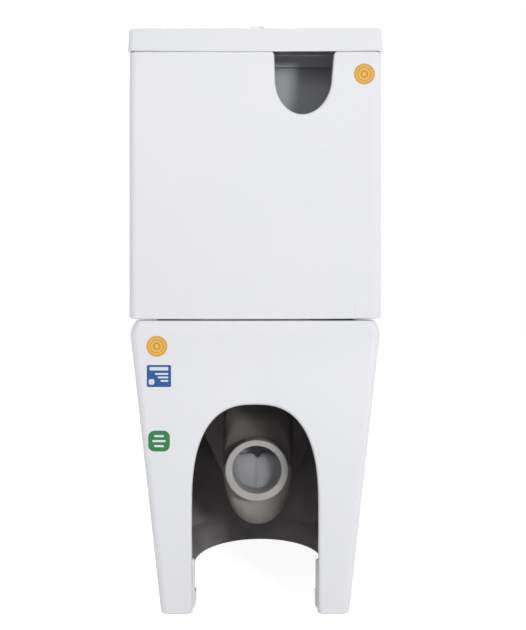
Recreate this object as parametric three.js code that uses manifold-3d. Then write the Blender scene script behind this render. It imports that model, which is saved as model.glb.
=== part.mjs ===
// A floor-standing toilet with a close-coupled cistern and a skirted pan that stands back to the wall.
// Lengths are in millimetres and +Z is up. +Y points at the wall behind the toilet, and the origin lies on the
// floor under the middle of the outline.

import * as THREE from 'three';
import { mergeVertices } from 'three/addons/utils/BufferGeometryUtils.js';
import Module from 'manifold-3d';

const wasm = await Module();
wasm.setup();

// Clearances and overruns
const touchGap = 0.3;
const runGap = 0.5;
const overrun = 3;
const weldDistance = 0.0003;

// Pan, outside
const panTopHeight = 423.5;
const panTopInset = 7.5;
const panTopSetback = 5;
const panShoulderDrop = 25.5;
const panShoulderWidth = 361;
const panFootWidth = 273;
const panFootSetback = 145;
const panNoseLength = 225;
const panFootNoseLength = 150;
const panBackCorner = 12;
const panWall = 12;
const deckLength = 250;
const deckThickness = 14;
const footPadHeight = 32;
const footPadDepth = 40;
const footHoleDiameter = 8;

// Pan, arch in the back
const archWidth = 183;
const archHeight = 302;
const archRise = 108;

// Pan, bowl
const bowlSideRim = 38.5;
const bowlLength = 360;
const bowlFrontRim = 40;
const bowlFloorHeight = 97;
const slotWidth = 84;
const slotHeight = 14;
const slotDrop = 38;

// Pan, trap. Setouts are measured from the wall.
const outletHeight = 185;
const outletSetout = 135;
const spigotDiameter = 98.5;
const spigotBore = 74.3;
const spigotLength = 60;
const spigotBoreDepth = 42;
const trapOutside = 100;
const dipPassage = 60;
const dipHeight = 127;
const dipFrontShare = 0.24167;
const sumpFrontShare = 0.225;
const dipBackSetout = 275;
const legPassage = 66;
const legFootSetout = 257;
const legFootHeight = 152;
const weirSetout = 213;
const weirRiseShare = 1 / 3;
const fallPassage = 46;
const fallTopSetout = 183;
const fallTopDrop = 8;
const fallFootSetout = 159;
const fallFootRise = 11;
const webDrop = 6;

// Pan, water chamber under the deck
const chamberWidth = 90;
const chamberFloorDrop = 73.5;
const wellDiameter = 104;
const wellDepth = 24;
const wellFloor = 10;
const chamberReach = 30;
const inletDiameter = 64;
const deckValveHole = 40;

// Cistern tank
const tankSideOverhang = 1.5;
const tankDepth = 160;
const tankWallSetout = 1.5;
const tankGap = 3.5;
const tankHeight = 385;
const tankWall = 10;
const tankFloor = 12;
const tankCorner = 18;
const tankFootRadius = 5;
const notchWidth = 85.6;
const notchFootWidth = 82;
const notchSetover = 68.7;
const notchDepth = 90.4;
const notchRise = 52;

// Cistern lid
const lidSideOverhang = 2.5;
const lidFrontOverhang = 3.5;
const lidTaper = 1.5;
const lidHeight = 32.7;
const lidCrown = 4.5;
const lidCrownInset = 48;
const lidEdgeRadius = 4;
const lidPlate = 10;
const lidWall = 12;
const lugLength = 30;
const lugThickness = 8;
const lugDrop = 9;
const lugPlay = 2;

// Tank fixings
const boltSpacing = 168;
const boltDiameter = 8;
const boltHole = 12;
const boltHeadDiameter = 18;
const boltHeadHeight = 5;
const boltWasherDiameter = 30;
const boltWasherThickness = 4;
const deckWasherDiameter = 24;
const deckWasherThickness = 2;
const wingNutDiameter = 15;
const wingNutHeight = 10;
const wingSpan = 34;
const wingThickness = 3;
const wingHeight = 13;
const boltTail = 6;
const padLength = 60;
const padWidth = 16;
const padInset = 70;
const padSetout = 18;

// Flush valve
const tailDiameter = 60;
const tailBore = 50;
const tailDrop = 32;
const backNutDiameter = 84;
const backNutHeight = 12;
const gasketDiameter = 100;
const valveFlangeDiameter = 84;
const valveFlangeHeight = 5;
const valveWasherThickness = 3;
const valveSeatDiameter = 56;
const valveSeatHeight = 7;
const bridgeHeight = 52;
const bridgeThickness = 4;
const bridgeWidth = 12;
const bridgeDepthShare = 0.7;
const bridgeRingDiameter = 82;
const bridgeRingHeight = 7;
const towerDiameter = 78;
const towerWall = 3;
const towerHeight = 196;
const towerWindowHeight = 42;
const towerWindowWidth = 40;
const towerTopBand = 12;
const valveCapDiameter = 84;
const valveCapThickness = 5;
const plungerGuideDiameter = 18;
const plungerGuideHeight = 16;
const coreDiameter = 30;
const coreBore = 25;
const coreHeight = 198;
const coreFlangeDiameter = 60;
const coreFlangeHeight = 5;
const coreSealDiameter = 62;
const coreSealThickness = 3;
const plungerSpacing = 20;
const plungerDiameter = 12;
const plungerHeadDiameter = 16;
const plungerHeadHeight = 4;
const plungerRise = 40;
const plungerDrop = 9;

// Push button in the lid
const buttonHole = 40;
const housingBarrel = 38.8;
const housingBore = 34.8;
const housingFlange = 58;
const housingFlangeHeight = 4;
const housingDepth = 34;
const housingFloor = 3;
const ringNutDiameter = 54;
const ringNutHeight = 7;
const buttonDiameter = 34;
const buttonDome = 8.6;
const buttonSkirt = 15;
const buttonSplitOffset = 3;
const buttonSplitGap = 0.8;
const rodDiameter = 5;
const rodHole = 6.4;
const springDiameter = 11;
const springBore = 7;

// Fill valve
const fillPlaceShare = 23 / 35;
const shankDiameter = 14;
const shankHole = 18;
const shankDrop = 38;
const shankNutDiameter = 30;
const shankNutHeight = 8;
const fillFlangeDiameter = 32;
const fillFlangeHeight = 5;
const fillWasherThickness = 2;
const columnDiameter = 18;
const columnHeight = 200;
const fillHeadDiameter = 30;
const fillHeadHeight = 42;
const fillCapDiameter = 34;
const fillCapHeight = 8;
const floatDiameter = 44;
const floatBore = 20;
const floatHeight = 60;
const floatWall = 2;
const floatDrop = 78;
const floatRodDiameter = 4;
const floatRodOffset = 19.5;
const leverWidth = 8;
const leverThickness = 4;
const leverPivotOffset = 8;
const leverPivotDiameter = 4;
const leverPostHeight = 10;
const leverPostThickness = 3;
const leverTip = 5;

// Seat and cover
const hingeSetout = 225;
const hingeSpacing = 155;
const hingeHeight = 22.5;
const seatRise = 7.4;
const seatThickness = 17;
const seatInset = 2.5;
const seatSetback = 3;
const seatBackGap = 20;
const seatNoseLength = 222;
const seatBackCorner = 46;
const seatEdgeRadius = 4;
const seatHoleWidth = 216;
const seatHoleLength = 272;
const seatHoleSetback = 92;
const seatHoleFlare = 6;
const seatHoleMiddleShare = 0.42;
const coverOverhang = 2;
const coverGap = 4;
const coverThickness = 18;
const coverPlate = 5;
const coverSkirt = 5;
const coverBackGap = 15;
const coverOpenAngle = 94.5;
const lugDiameter = 20;
const coverLugDiameter = 22;
const hingeLugWidth = 16;
const hingePostWidth = 16;
const hingePostDiameter = 18;
const hingeFootDiameter = 38;
const hingeFootHeight = 4;
const hingePinDiameter = 8;
const damperDiameter = 13;
const studDiameter = 8;
const studHole = 14;
const studTail = 22;
const studNutDiameter = 26;
const studNutHeight = 12;
const bumperLength = 26;
const bumperWidth = 12;
const frontBumperSetback = 125;
const frontBumperInset = 38;
const backBumperSetback = 300;
const backBumperInset = 19;
const coverBumperDiameter = 14;
const coverBumperSetback = 26;
const coverBumperSpacing = 96;

// Half-way points of rounded edges: how far up and how far in, as a share of the radius
const edgeTurnShare = 0.3;
const coverTurnShare = 0.6;
const crownTurnShare = 0.7;

// Roundness of the faceted shapes
const fineSegments = 32;
const mediumSegments = 24;
const smallSegments = 16;
const noseSegments = 11;
const bowlSegments = 14;
const cornerSegments = 4;

// Places worked out from the sizes above
const panLength = bowlFrontRim + bowlLength + deckLength;
const panTopWidth = panShoulderWidth - 2 * panTopInset;
const panShoulderHeight = panTopHeight - panShoulderDrop;
const wallY = panLength / 2;
const frontY = -panLength / 2;
const tankBackY = wallY - tankWallSetout;
const tankY = tankBackY - tankDepth / 2;
const tankFootZ = panTopHeight + tankGap;
const tankFloorZ = tankFootZ + tankFloor;
const tankTopZ = tankFootZ + tankHeight;
const bowlWidth = panShoulderWidth - 2 * bowlSideRim;
const chamberFloorZ = panTopHeight - chamberFloorDrop;
const weirZ = THREE.MathUtils.lerp(outletHeight, chamberFloorZ - panWall, weirRiseShare);
const tankWidth = panShoulderWidth + 2 * tankSideOverhang;
const fillInmost = (boltSpacing + boltWasherDiameter + fillFlangeDiameter) / 2;
const fillOutmost = tankWidth / 2 - tankWall - floatDiameter / 2;
const fillSetover = THREE.MathUtils.lerp(fillInmost, fillOutmost, fillPlaceShare);
const padSetover = tankWidth / 2 - padInset;
const lidWidth = tankWidth + 2 * lidSideOverhang;
const lidDepth = tankDepth + tankWallSetout + lidFrontOverhang;
const lidFootZ = tankTopZ + touchGap;
const lidTopZ = lidFootZ + lidHeight;
const lidCrownZ = lidTopZ + lidCrown;
const lidPlateZ = lidTopZ - lidPlate;
const deckUnderZ = panTopHeight - deckThickness;
const wellFloorZ = panTopHeight - wellDepth;
const chamberTopZ = wellFloorZ - wellFloor;
const hingeY = wallY - hingeSetout;
const hingeZ = panTopHeight + hingeHeight;
const seatWidth = panShoulderWidth - 2 * seatInset;
const coverWidth = seatWidth + 2 * coverOverhang;
const seatFootZ = panTopHeight + seatRise;
const seatTopZ = seatFootZ + seatThickness;
const coverFootZ = seatTopZ + coverGap;
const coverTopZ = coverFootZ + coverThickness;

// Materials
const china = new THREE.MeshStandardMaterial({ color: 0xeaeaee, roughness: 0.12, metalness: 0 });
const seatPlastic = new THREE.MeshStandardMaterial({ color: 0xf0f0f2, roughness: 0.25, metalness: 0 });
const whitePlastic = new THREE.MeshStandardMaterial({ color: 0xe4e6ea, roughness: 0.45, metalness: 0 });
const bluePlastic = new THREE.MeshStandardMaterial({ color: 0x3f78b4, roughness: 0.45, metalness: 0 });
const greyPlastic = new THREE.MeshStandardMaterial({ color: 0x9aa0a6, roughness: 0.5, metalness: 0 });
const chrome = new THREE.MeshStandardMaterial({ color: 0xd5d8dc, roughness: 0.08, metalness: 1 });
const steel = new THREE.MeshStandardMaterial({ color: 0xb4b7ba, roughness: 0.3, metalness: 1 });
const brass = new THREE.MeshStandardMaterial({ color: 0xc9a458, roughness: 0.3, metalness: 1 });
const rubber = new THREE.MeshStandardMaterial({ color: 0x2b2b2d, roughness: 0.8, metalness: 0 });
const softRubber = new THREE.MeshStandardMaterial({ color: 0xd6d6d2, roughness: 0.7, metalness: 0 });

const toilet = new THREE.Group();

// A closed geometry as a solid that can be joined and cut
function solid(geometry) {
  const bare = geometry.clone();
  bare.deleteAttribute('normal');
  bare.deleteAttribute('uv');
  const welded = mergeVertices(bare, weldDistance);
  const points = welded.attributes.position.array;
  const corners = [];
  const index = welded.index.array;
  for (let i = 0; i < index.length; i += 3) {
    const [a, b, c] = [index[i], index[i + 1], index[i + 2]];
    if (a !== b && b !== c && c !== a) corners.push(a, b, c);
  }
  const made = (order) => new wasm.Manifold(new wasm.Mesh({
    numProp: 3,
    vertProperties: new Float32Array(points),
    triVerts: new Uint32Array(order),
  }));
  const first = made(corners);
  if (first.volume() > 0) return first;
  return made(corners.toReversed());
}

// A solid as the flat-shaded geometry of a mesh
function shapeOf(body) {
  const mesh = body.getMesh();
  const geometry = new THREE.BufferGeometry();
  geometry.setAttribute('position', new THREE.BufferAttribute(new Float32Array(mesh.vertProperties), 3));
  geometry.setIndex(new THREE.BufferAttribute(new Uint32Array(mesh.triVerts), 1));
  geometry.computeVertexNormals();
  return geometry;
}

function add(name, body, material, parent = toilet) {
  const mesh = new THREE.Mesh(shapeOf(body), material);
  mesh.name = name;
  parent.add(mesh);
  return mesh;
}

function join(bodies) {
  return bodies.reduce((whole, body) => whole.add(body));
}

// A shape of revolution on a vertical axis, from radius and height pairs that close on themselves or the axis
function lathe(profile, segments = smallSegments) {
  const points = profile.map(([radius, height]) => new THREE.Vector2(radius, height));
  return solid(new THREE.LatheGeometry(points, segments).rotateX(Math.PI / 2));
}

function disc(diameter, low, high, segments = smallSegments) {
  const radius = diameter / 2;
  return lathe([[0, low], [radius, low], [radius, high], [0, high]], segments);
}

function tube(outside, inside, low, high, segments = smallSegments) {
  const [outer, inner] = [outside / 2, inside / 2];
  return lathe([[inner, low], [outer, low], [outer, high], [inner, high], [inner, low]], segments);
}

// A nut with flat sides and a round bore
const nutSides = 8;

function nut(outside, inside, low, high, segments = smallSegments) {
  return disc(outside, low, high, nutSides).subtract(disc(inside, low - overrun, high + overrun, segments));
}

// A cylinder along X between two places
function crossDisc(diameter, from, to, segments = smallSegments) {
  const geometry = new THREE.CylinderGeometry(diameter / 2, diameter / 2, Math.abs(to - from), segments);
  return solid(geometry.rotateZ(Math.PI / 2).translate((from + to) / 2, 0, 0));
}

function block(left, right, front, back, low, high) {
  const geometry = new THREE.BoxGeometry(right - left, back - front, high - low);
  return solid(geometry.translate((left + right) / 2, (front + back) / 2, (low + high) / 2));
}

// Outlines one unit wide and deep to each side, which the levels of a loft then scale
function unitBox(cornerX, cornerY) {
  const outline = new THREE.Shape();
  outline.moveTo(1 - cornerX, -1);
  outline.absellipse(1 - cornerX, -1 + cornerY, cornerX, cornerY, -Math.PI / 2, 0);
  outline.absellipse(1 - cornerX, 1 - cornerY, cornerX, cornerY, 0, Math.PI / 2);
  outline.absellipse(-1 + cornerX, 1 - cornerY, cornerX, cornerY, Math.PI / 2, Math.PI);
  outline.absellipse(-1 + cornerX, -1 + cornerY, cornerX, cornerY, Math.PI, Math.PI * 1.5);
  return outline;
}

function unitDee(cornerX, cornerY) {
  const half = Math.PI / 2;
  const outline = new THREE.Shape();
  outline.setFromPoints([
    ...new THREE.EllipseCurve(0, 0, 1, 1, Math.PI, Math.PI * 2).getPoints(noseSegments * 2),
    ...new THREE.EllipseCurve(1 - cornerX, 1 - cornerY, cornerX, cornerY, 0, half).getPoints(cornerSegments),
    ...new THREE.EllipseCurve(cornerX - 1, 1 - cornerY, cornerX, cornerY, half, Math.PI).getPoints(cornerSegments),
  ]);
  return outline;
}

function unitRound() {
  const outline = new THREE.Shape();
  outline.absellipse(0, 0, 1, 1, 0, Math.PI * 2);
  return outline;
}

// A stack of levels that share one unit outline. Each level has its height z, its width, and the places of its
// front, of its widest line and of its back.
function loft(outline, levels, curveSegments = cornerSegments) {
  const steps = levels.length - 1;
  const options = { depth: steps, steps, bevelEnabled: false, curveSegments };
  const geometry = new THREE.ExtrudeGeometry(outline, options);
  const position = geometry.attributes.position;
  for (let i = 0; i < position.count; i++) {
    const level = levels[Math.round(position.getZ(i))];
    const across = position.getX(i);
    const along = position.getY(i);
    const end = along > 0 ? level.back : level.front;
    const y = THREE.MathUtils.lerp(level.middle, end, Math.abs(along));
    position.setXYZ(i, across * level.width / 2, y, level.z);
  }
  return solid(geometry);
}

function inset(level, by, z = level.z) {
  return {
    z,
    width: level.width - 2 * by,
    front: level.front + by,
    middle: level.middle,
    back: level.back - by,
  };
}

// Round-ended pipe runs through points in the middle plane, given as places and heights
function pipe(points, diameter) {
  const runs = points.slice(1).map(([y, z], i) => {
    const from = new THREE.Vector3(0, ...points[i]);
    const to = new THREE.Vector3(0, y, z);
    const run = to.clone().sub(from);
    const geometry = new THREE.CapsuleGeometry(diameter / 2, run.length(), cornerSegments, smallSegments);
    const up = new THREE.Vector3(0, 1, 0);
    geometry.applyQuaternion(new THREE.Quaternion().setFromUnitVectors(up, run.normalize()));
    const middle = from.add(to).multiplyScalar(1 / 2);
    return solid(geometry.translate(middle.x, middle.y, middle.z));
  });
  return join(runs);
}

// Left and right are those of someone who stands in front of the toilet and faces the wall
const sides = [['left', -1], ['right', 1]];

// The outside of the pan: a flat back, sides that lean out to a shoulder under the top, and a nose that sweeps
// forward from the foot to the rim
const panNoseShares = [
  [0, 0], [0.08, 0.005], [0.22, 0.06], [0.36, 0.2], [0.5, 0.43], [0.64, 0.68], [0.78, 0.87], [0.9, 0.97], [1, 1],
];
const panEdgeShares = [[0.45, 0.1], [0.8, 0.45], [1, 1]];

function panLevels() {
  const lower = panNoseShares.map(([heightShare, noseShare]) => ({
    z: panShoulderHeight * heightShare,
    width: THREE.MathUtils.lerp(panFootWidth, panShoulderWidth, heightShare),
    front: frontY + panFootSetback * (1 - noseShare),
    middle: frontY + panFootSetback * (1 - noseShare)
      + THREE.MathUtils.lerp(panFootNoseLength, panNoseLength, noseShare),
    back: wallY,
  }));
  const shoulder = lower.at(-1);
  const edge = panEdgeShares.map(([heightShare, inShare]) => ({
    z: THREE.MathUtils.lerp(panShoulderHeight, panTopHeight, heightShare),
    width: THREE.MathUtils.lerp(panShoulderWidth, panTopWidth, inShare),
    front: shoulder.front + panTopSetback * inShare,
    middle: shoulder.middle,
    back: wallY - panTopSetback / 2 * inShare,
  }));
  return [...lower, ...edge];
}

// Heights above the bowl's floor, and widths and places along the bowl measured from its back edge
const bowlShares = [
  { height: 0, width: 0.17, front: 0.286, middle: 0.236, back: 0.192 },
  { height: 0.05, width: 0.27, front: 0.336, middle: 0.253, back: 0.169 },
  { height: 0.16, width: 0.35, front: 0.392, middle: 0.275, back: 0.158 },
  { height: 0.32, width: 0.49, front: 0.508, middle: 0.308, back: 0.119 },
  { height: 0.46, width: 0.655, front: 0.686, middle: 0.375, back: 0.081 },
  { height: 0.62, width: 0.845, front: 0.875, middle: 0.444, back: 0.036 },
  { height: 0.8, width: 0.99, front: 0.986, middle: 0.486, back: 0.003 },
  { height: 0.93, width: 1.02, front: 1.008, middle: 0.5, back: -0.008 },
  { height: 1, width: 1, front: 1, middle: 0.5, back: 0 },
];
const bowlBackY = frontY + bowlFrontRim + bowlLength;

function bowlLevels(top) {
  return bowlShares.map((share) => ({
    z: THREE.MathUtils.lerp(bowlFloorHeight, top, share.height),
    width: bowlWidth * share.width,
    front: bowlBackY - bowlLength * share.front,
    middle: bowlBackY - bowlLength * share.middle,
    back: bowlBackY - bowlLength * share.back,
  }));
}

// The bowl hangs under the deck. Its cavity goes on through the deck, and its grown outside clears its neighbours.
function makeBowl() {
  const inner = bowlLevels(panTopHeight);
  const rim = inner.at(-1);
  const outer = (by, top) => {
    const levels = bowlLevels(top).map((level) => inset(level, -by));
    levels[0].z -= by;
    return loft(unitRound(), levels, bowlSegments);
  };
  return {
    cavity: loft(unitRound(), [...inner, { ...rim, z: rim.z + overrun }], bowlSegments),
    outside: outer(panWall, deckUnderZ - touchGap),
    grown: outer(panWall + touchGap, deckUnderZ),
  };
}

// The trap dips under the back of the bowl, climbs a leg to the weir and falls to a level outlet spigot
function makeTrap() {
  const dip = [[bowlBackY - bowlLength * dipFrontShare, dipHeight], [wallY - dipBackSetout, dipHeight]];
  const legFoot = [wallY - legFootSetout, legFootHeight];
  const weir = [wallY - weirSetout, weirZ];
  const fallTop = [wallY - fallTopSetout, weirZ - fallTopDrop];
  const fallFoot = [wallY - fallFootSetout, outletHeight + fallFootRise];
  const spigotEnd = wallY - outletSetout;
  const level = (diameter, front, back) => {
    const geometry = new THREE.CylinderGeometry(diameter / 2, diameter / 2, back - front, mediumSegments);
    return solid(geometry.translate(0, (front + back) / 2, outletHeight));
  };
  const passage = join([
    pipe([...dip, legFoot], dipPassage),
    pipe([legFoot, weir], legPassage),
    pipe([weir, fallTop, fallFoot], fallPassage),
    level(spigotBore, spigotEnd - spigotBoreDepth, spigotEnd + overrun),
  ]);
  const sump = [bowlBackY - bowlLength * sumpFrontShare, bowlFloorHeight - panWall + trapOutside / 2];
  const bend = [spigotEnd - trapOutside / 2 - touchGap, (outletHeight + weirZ) / 2];
  const outside = join([
    pipe([sump, [dip[1][0], sump[1]], legFoot, weir, bend], trapOutside),
    level(spigotDiameter, spigotEnd - spigotLength, spigotEnd),
    block(-trapOutside / 2, trapOutside / 2, legFoot[0] - panWall, bend[0], weirZ - webDrop, chamberFloorZ),
  ]);
  return { passage, outside };
}

// Under the deck a chamber takes the flush from the inlet well to a slot at the back of the bowl. Its front wall
// is the stretch of the bowl's wall around the slot.
function makeChamber() {
  const half = chamberWidth / 2;
  const front = bowlBackY + panWall;
  const back = tankY + wellDiameter / 2;
  const slotTop = panTopHeight - slotDrop;
  const at = (body) => body.translate(0, tankY, 0);
  const outside = (by) => {
    const low = chamberFloorZ - panWall - by;
    const high = deckUnderZ - touchGap + by;
    return join([
      block(-half - panWall - by, half + panWall + by, bowlBackY - chamberReach - by, back + wellFloor + by,
        low, high),
      at(disc(wellDiameter + 2 * wellFloor + 2 * by, low, high, mediumSegments)),
    ]);
  };
  const slotFront = bowlBackY - bowlFrontRim / 2;
  const space = join([
    block(-half, half, front, back - panWall, chamberFloorZ, chamberTopZ),
    block(-slotWidth / 2, slotWidth / 2, slotFront, front + overrun, slotTop - slotHeight, slotTop),
    at(disc(inletDiameter, chamberTopZ - overrun, wellFloorZ + overrun, mediumSegments)),
    at(disc(wellDiameter, wellFloorZ, panTopHeight + overrun, fineSegments)),
  ]);
  return { outside: outside(0), grown: outside(touchGap), space };
}

function makeArch() {
  const half = archWidth / 2;
  const outline = new THREE.Shape();
  outline.moveTo(half, -overrun);
  outline.lineTo(half, archHeight - archRise);
  outline.absellipse(0, archHeight - archRise, half, archRise, 0, Math.PI);
  outline.lineTo(-half, -overrun);
  const depth = panWall + 2 * overrun;
  const options = { depth, steps: 1, bevelEnabled: false, curveSegments: noseSegments };
  const geometry = new THREE.ExtrudeGeometry(outline, options);
  return solid(geometry.rotateX(Math.PI / 2).translate(0, wallY + overrun, 0));
}

// The skirt and the deck on it are one shell, open below. Bowl, trapway and water chamber are fired together with
// it. All five are separate bodies here, a hair apart.
function makeShell(bowl, chamber) {
  const levels = panLevels();
  const cornerX = panBackCorner / (panShoulderWidth / 2);
  const cornerY = panBackCorner / (panLength - panNoseLength);
  const outside = loft(unitDee(cornerX, cornerY), levels);
  const hollow = levels.slice(0, panNoseShares.length).map((level) => inset(level, panWall));
  hollow[0].z -= overrun;
  hollow.at(-1).z = deckUnderZ;
  const hollowSolid = loft(unitDee(cornerX, cornerY), hollow);
  const innerBack = wallY - panWall;
  const pads = sides.map(([, side]) => {
    const inner = side * archWidth / 2;
    const outer = side * (panFootWidth / 2 - panWall / 2);
    const low = Math.min(inner, outer);
    const high = Math.max(inner, outer);
    return block(low, high, innerBack - footPadDepth, innerBack + overrun, 0, footPadHeight);
  });
  const holes = [];
  for (const [, side] of sides) {
    const hole = (diameter, x, y) => disc(diameter, chamberTopZ, panTopHeight + overrun).translate(x, y, 0);
    holes.push(hole(boltHole, side * boltSpacing / 2, tankY));
    holes.push(hole(studHole, side * hingeSpacing / 2, hingeY));
    const fixing = crossDisc(footHoleDiameter, 0, side * panShoulderWidth / 2);
    holes.push(fixing.translate(0, innerBack - footPadDepth / 2, footPadHeight / 2));
  }
  holes.push(disc(deckValveHole, chamberTopZ, panTopHeight + overrun, mediumSegments)
    .translate(-fillSetover, tankY, 0));
  const body = join([outside.subtract(hollowSolid), ...pads]);
  const shell = [bowl.cavity, chamber.space, makeArch(), ...holes].reduce((whole, cut) => whole.subtract(cut), body);
  const slab = (low, high) => {
    return block(-panShoulderWidth, panShoulderWidth, frontY - overrun, wallY + overrun, low, high);
  };
  return {
    skirt: shell.subtract(slab(deckUnderZ - touchGap, panTopHeight + overrun)),
    deck: shell.subtract(slab(-overrun, deckUnderZ)),
  };
}

function addPan() {
  const bowl = makeBowl();
  const trap = makeTrap();
  const chamber = makeChamber();
  const shell = makeShell(bowl, chamber);
  add('pan_skirt', shell.skirt, china);
  add('pan_deck', shell.deck, china);
  add('pan_bowl', [bowl.cavity, trap.passage, chamber.grown]
    .reduce((whole, cut) => whole.subtract(cut), bowl.outside), china);
  add('pan_water_chamber', chamber.outside.subtract(bowl.cavity).subtract(chamber.space), china);
  add('pan_trapway', [bowl.grown, chamber.grown, trap.passage]
    .reduce((whole, cut) => whole.subtract(cut), trap.outside), china);
}

// The tank is a deep box with a notch for a supply pipe at the top of its back wall
function tankLevel(z, by = 0) {
  return {
    z,
    width: tankWidth - 2 * by,
    front: tankBackY - tankDepth + by,
    middle: tankY,
    back: tankBackY - by,
  };
}

function makeNotch() {
  const outline = new THREE.Shape();
  const foot = tankTopZ - notchDepth;
  const turn = foot + notchRise;
  outline.moveTo(notchWidth / 2, tankTopZ + overrun);
  outline.lineTo(-notchWidth / 2, tankTopZ + overrun);
  outline.lineTo(-notchFootWidth / 2, turn);
  outline.absellipse(0, turn, notchFootWidth / 2, notchRise, Math.PI, Math.PI * 2);
  const depth = tankWall + 2 * overrun;
  const options = { depth, steps: 1, bevelEnabled: false, curveSegments: noseSegments };
  const geometry = new THREE.ExtrudeGeometry(outline, options);
  return solid(geometry.rotateX(Math.PI / 2).translate(-notchSetover, tankBackY + overrun, 0));
}

function makeTank() {
  const corner = [tankCorner / (tankWidth / 2), tankCorner / (tankDepth / 2)];
  const outside = loft(unitBox(...corner), [
    tankLevel(tankFootZ, tankFootRadius),
    tankLevel(tankFootZ + tankFootRadius * edgeTurnShare, tankFootRadius * edgeTurnShare),
    tankLevel(tankFootZ + tankFootRadius),
    tankLevel(tankTopZ),
  ]);
  const space = loft(unitBox(...corner), [
    tankLevel(tankFloorZ, tankWall),
    tankLevel(tankTopZ + overrun, tankWall),
  ]);
  const hole = (diameter, x) => disc(diameter, tankFootZ - overrun, tankFloorZ + overrun, mediumSegments)
    .translate(x, tankY, 0);
  const holes = [
    hole(inletDiameter, 0),
    hole(boltHole, boltSpacing / 2),
    hole(boltHole, -boltSpacing / 2),
    hole(shankHole, -fillSetover),
  ];
  return [space, makeNotch(), ...holes].reduce((whole, cut) => whole.subtract(cut), outside);
}

// The lid is a shallow tray turned over, with a low crown and four lugs that keep it on the rim
function makeLid() {
  const corner = [tankCorner / (lidWidth / 2), tankCorner / (lidDepth / 2)];
  const level = (z, width, by = 0) => ({
    z,
    width: width - 2 * by,
    front: wallY - lidDepth + by,
    middle: tankY,
    back: wallY - by,
  });
  const outside = loft(unitBox(...corner), [
    level(lidFootZ, lidWidth),
    level(lidTopZ - lidEdgeRadius, lidWidth, lidTaper),
    level(lidTopZ - lidEdgeRadius * edgeTurnShare, lidWidth, lidTaper + lidEdgeRadius * edgeTurnShare),
    level(lidTopZ, lidWidth, lidTaper + lidEdgeRadius),
    level(lidTopZ + lidCrown * crownTurnShare, lidWidth, lidCrownInset / 2),
    level(lidCrownZ, lidWidth, lidCrownInset),
  ]);
  const space = loft(unitBox(...corner), [
    level(lidFootZ - overrun, lidWidth, lidWall),
    level(lidPlateZ, lidWidth, lidWall),
  ]);
  const hole = disc(buttonHole, lidPlateZ - overrun, lidCrownZ + overrun, mediumSegments).translate(0, tankY, 0);
  const edge = tankWidth / 2 - tankWall - lugPlay;
  const lugs = sides.flatMap(([, side]) => [-1, 1].map((end) => {
    const x = side * (edge - lugThickness / 2);
    const y = tankY + end * (tankDepth / 2 - tankWall - lugPlay - tankCorner - lugLength / 2);
    return block(
      x - lugThickness / 2, x + lugThickness / 2,
      y - lugLength / 2, y + lugLength / 2,
      tankTopZ - lugDrop, lidPlateZ + overrun,
    );
  }));
  return join([outside.subtract(space).subtract(hole), ...lugs]);
}

// Gasket round the back nut, bolts, washers, wing nuts and the pads that the tank stands on
function addTankFixings() {
  const gasketHeight = backNutHeight + touchGap;
  const inner = tailDiameter / 2 + runGap;
  const nutRadius = backNutDiameter / 2 + runGap;
  const [low, high] = [wellFloorZ + touchGap, tankFootZ - touchGap];
  const step = tankFootZ - touchGap - gasketHeight - touchGap;
  const profile = [
    [inner, low], [gasketDiameter / 2, low], [gasketDiameter / 2, high],
    [nutRadius, high], [nutRadius, step], [inner, step], [inner, low],
  ];
  add('coupling_gasket', lathe(profile, fineSegments).translate(0, tankY, 0), rubber);
  for (const [side, sign] of sides) {
    const at = (body) => body.translate(sign * boltSpacing / 2, tankY, 0);
    const washerFoot = tankFloorZ + touchGap;
    const headFoot = washerFoot + boltWasherThickness + touchGap;
    const deckWasherTop = deckUnderZ - touchGap;
    const nutTop = deckWasherTop - deckWasherThickness - touchGap;
    const boltEnd = nutTop - wingNutHeight - boltTail;
    const bore = boltDiameter + runGap;
    const radius = boltDiameter / 2;
    const head = boltHeadDiameter / 2;
    add(`tank_bolt_${side}`, at(lathe([
      [0, boltEnd], [radius, boltEnd], [radius, headFoot], [head, headFoot],
      [head, headFoot + boltHeadHeight], [0, headFoot + boltHeadHeight],
    ])), brass);
    add(`tank_bolt_rubber_washer_${side}`,
      at(tube(boltWasherDiameter, bore, washerFoot, washerFoot + boltWasherThickness)), rubber);
    add(`deck_washer_${side}`,
      at(tube(deckWasherDiameter, bore, deckWasherTop - deckWasherThickness, deckWasherTop)), steel);
    const wings = block(
      -wingSpan / 2, wingSpan / 2, -wingThickness / 2, wingThickness / 2, nutTop - wingHeight, nutTop - touchGap,
    );
    const wingNut = disc(wingNutDiameter, nutTop - wingNutHeight, nutTop).add(wings)
      .subtract(disc(bore, nutTop - wingHeight - overrun, nutTop + overrun));
    add(`wing_nut_${side}`, at(wingNut), brass);
    const padX = sign * padSetover;
    add(`tank_pad_${side}`, block(
      padX - padLength / 2, padX + padLength / 2,
      wallY - padSetout - padWidth / 2, wallY - padSetout + padWidth / 2,
      panTopHeight + touchGap, tankFootZ - touchGap,
    ), rubber);
  }
}

// Places up the flush valve
const valveWasherZ = tankFloorZ + touchGap;
const valveFlangeZ = valveWasherZ + valveWasherThickness + touchGap;
const valveSeatZ = valveFlangeZ + valveFlangeHeight + valveSeatHeight;
const bridgeTopZ = valveFlangeZ + valveFlangeHeight + bridgeHeight;
const towerFootZ = bridgeTopZ + touchGap;
const towerTopZ = towerFootZ + towerHeight;
const valveCapTopZ = towerTopZ + touchGap + valveCapThickness;
const coreFlangeZ = valveSeatZ + touchGap + coreSealThickness + touchGap;
const plungerTopZ = valveCapTopZ + plungerRise;

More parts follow.
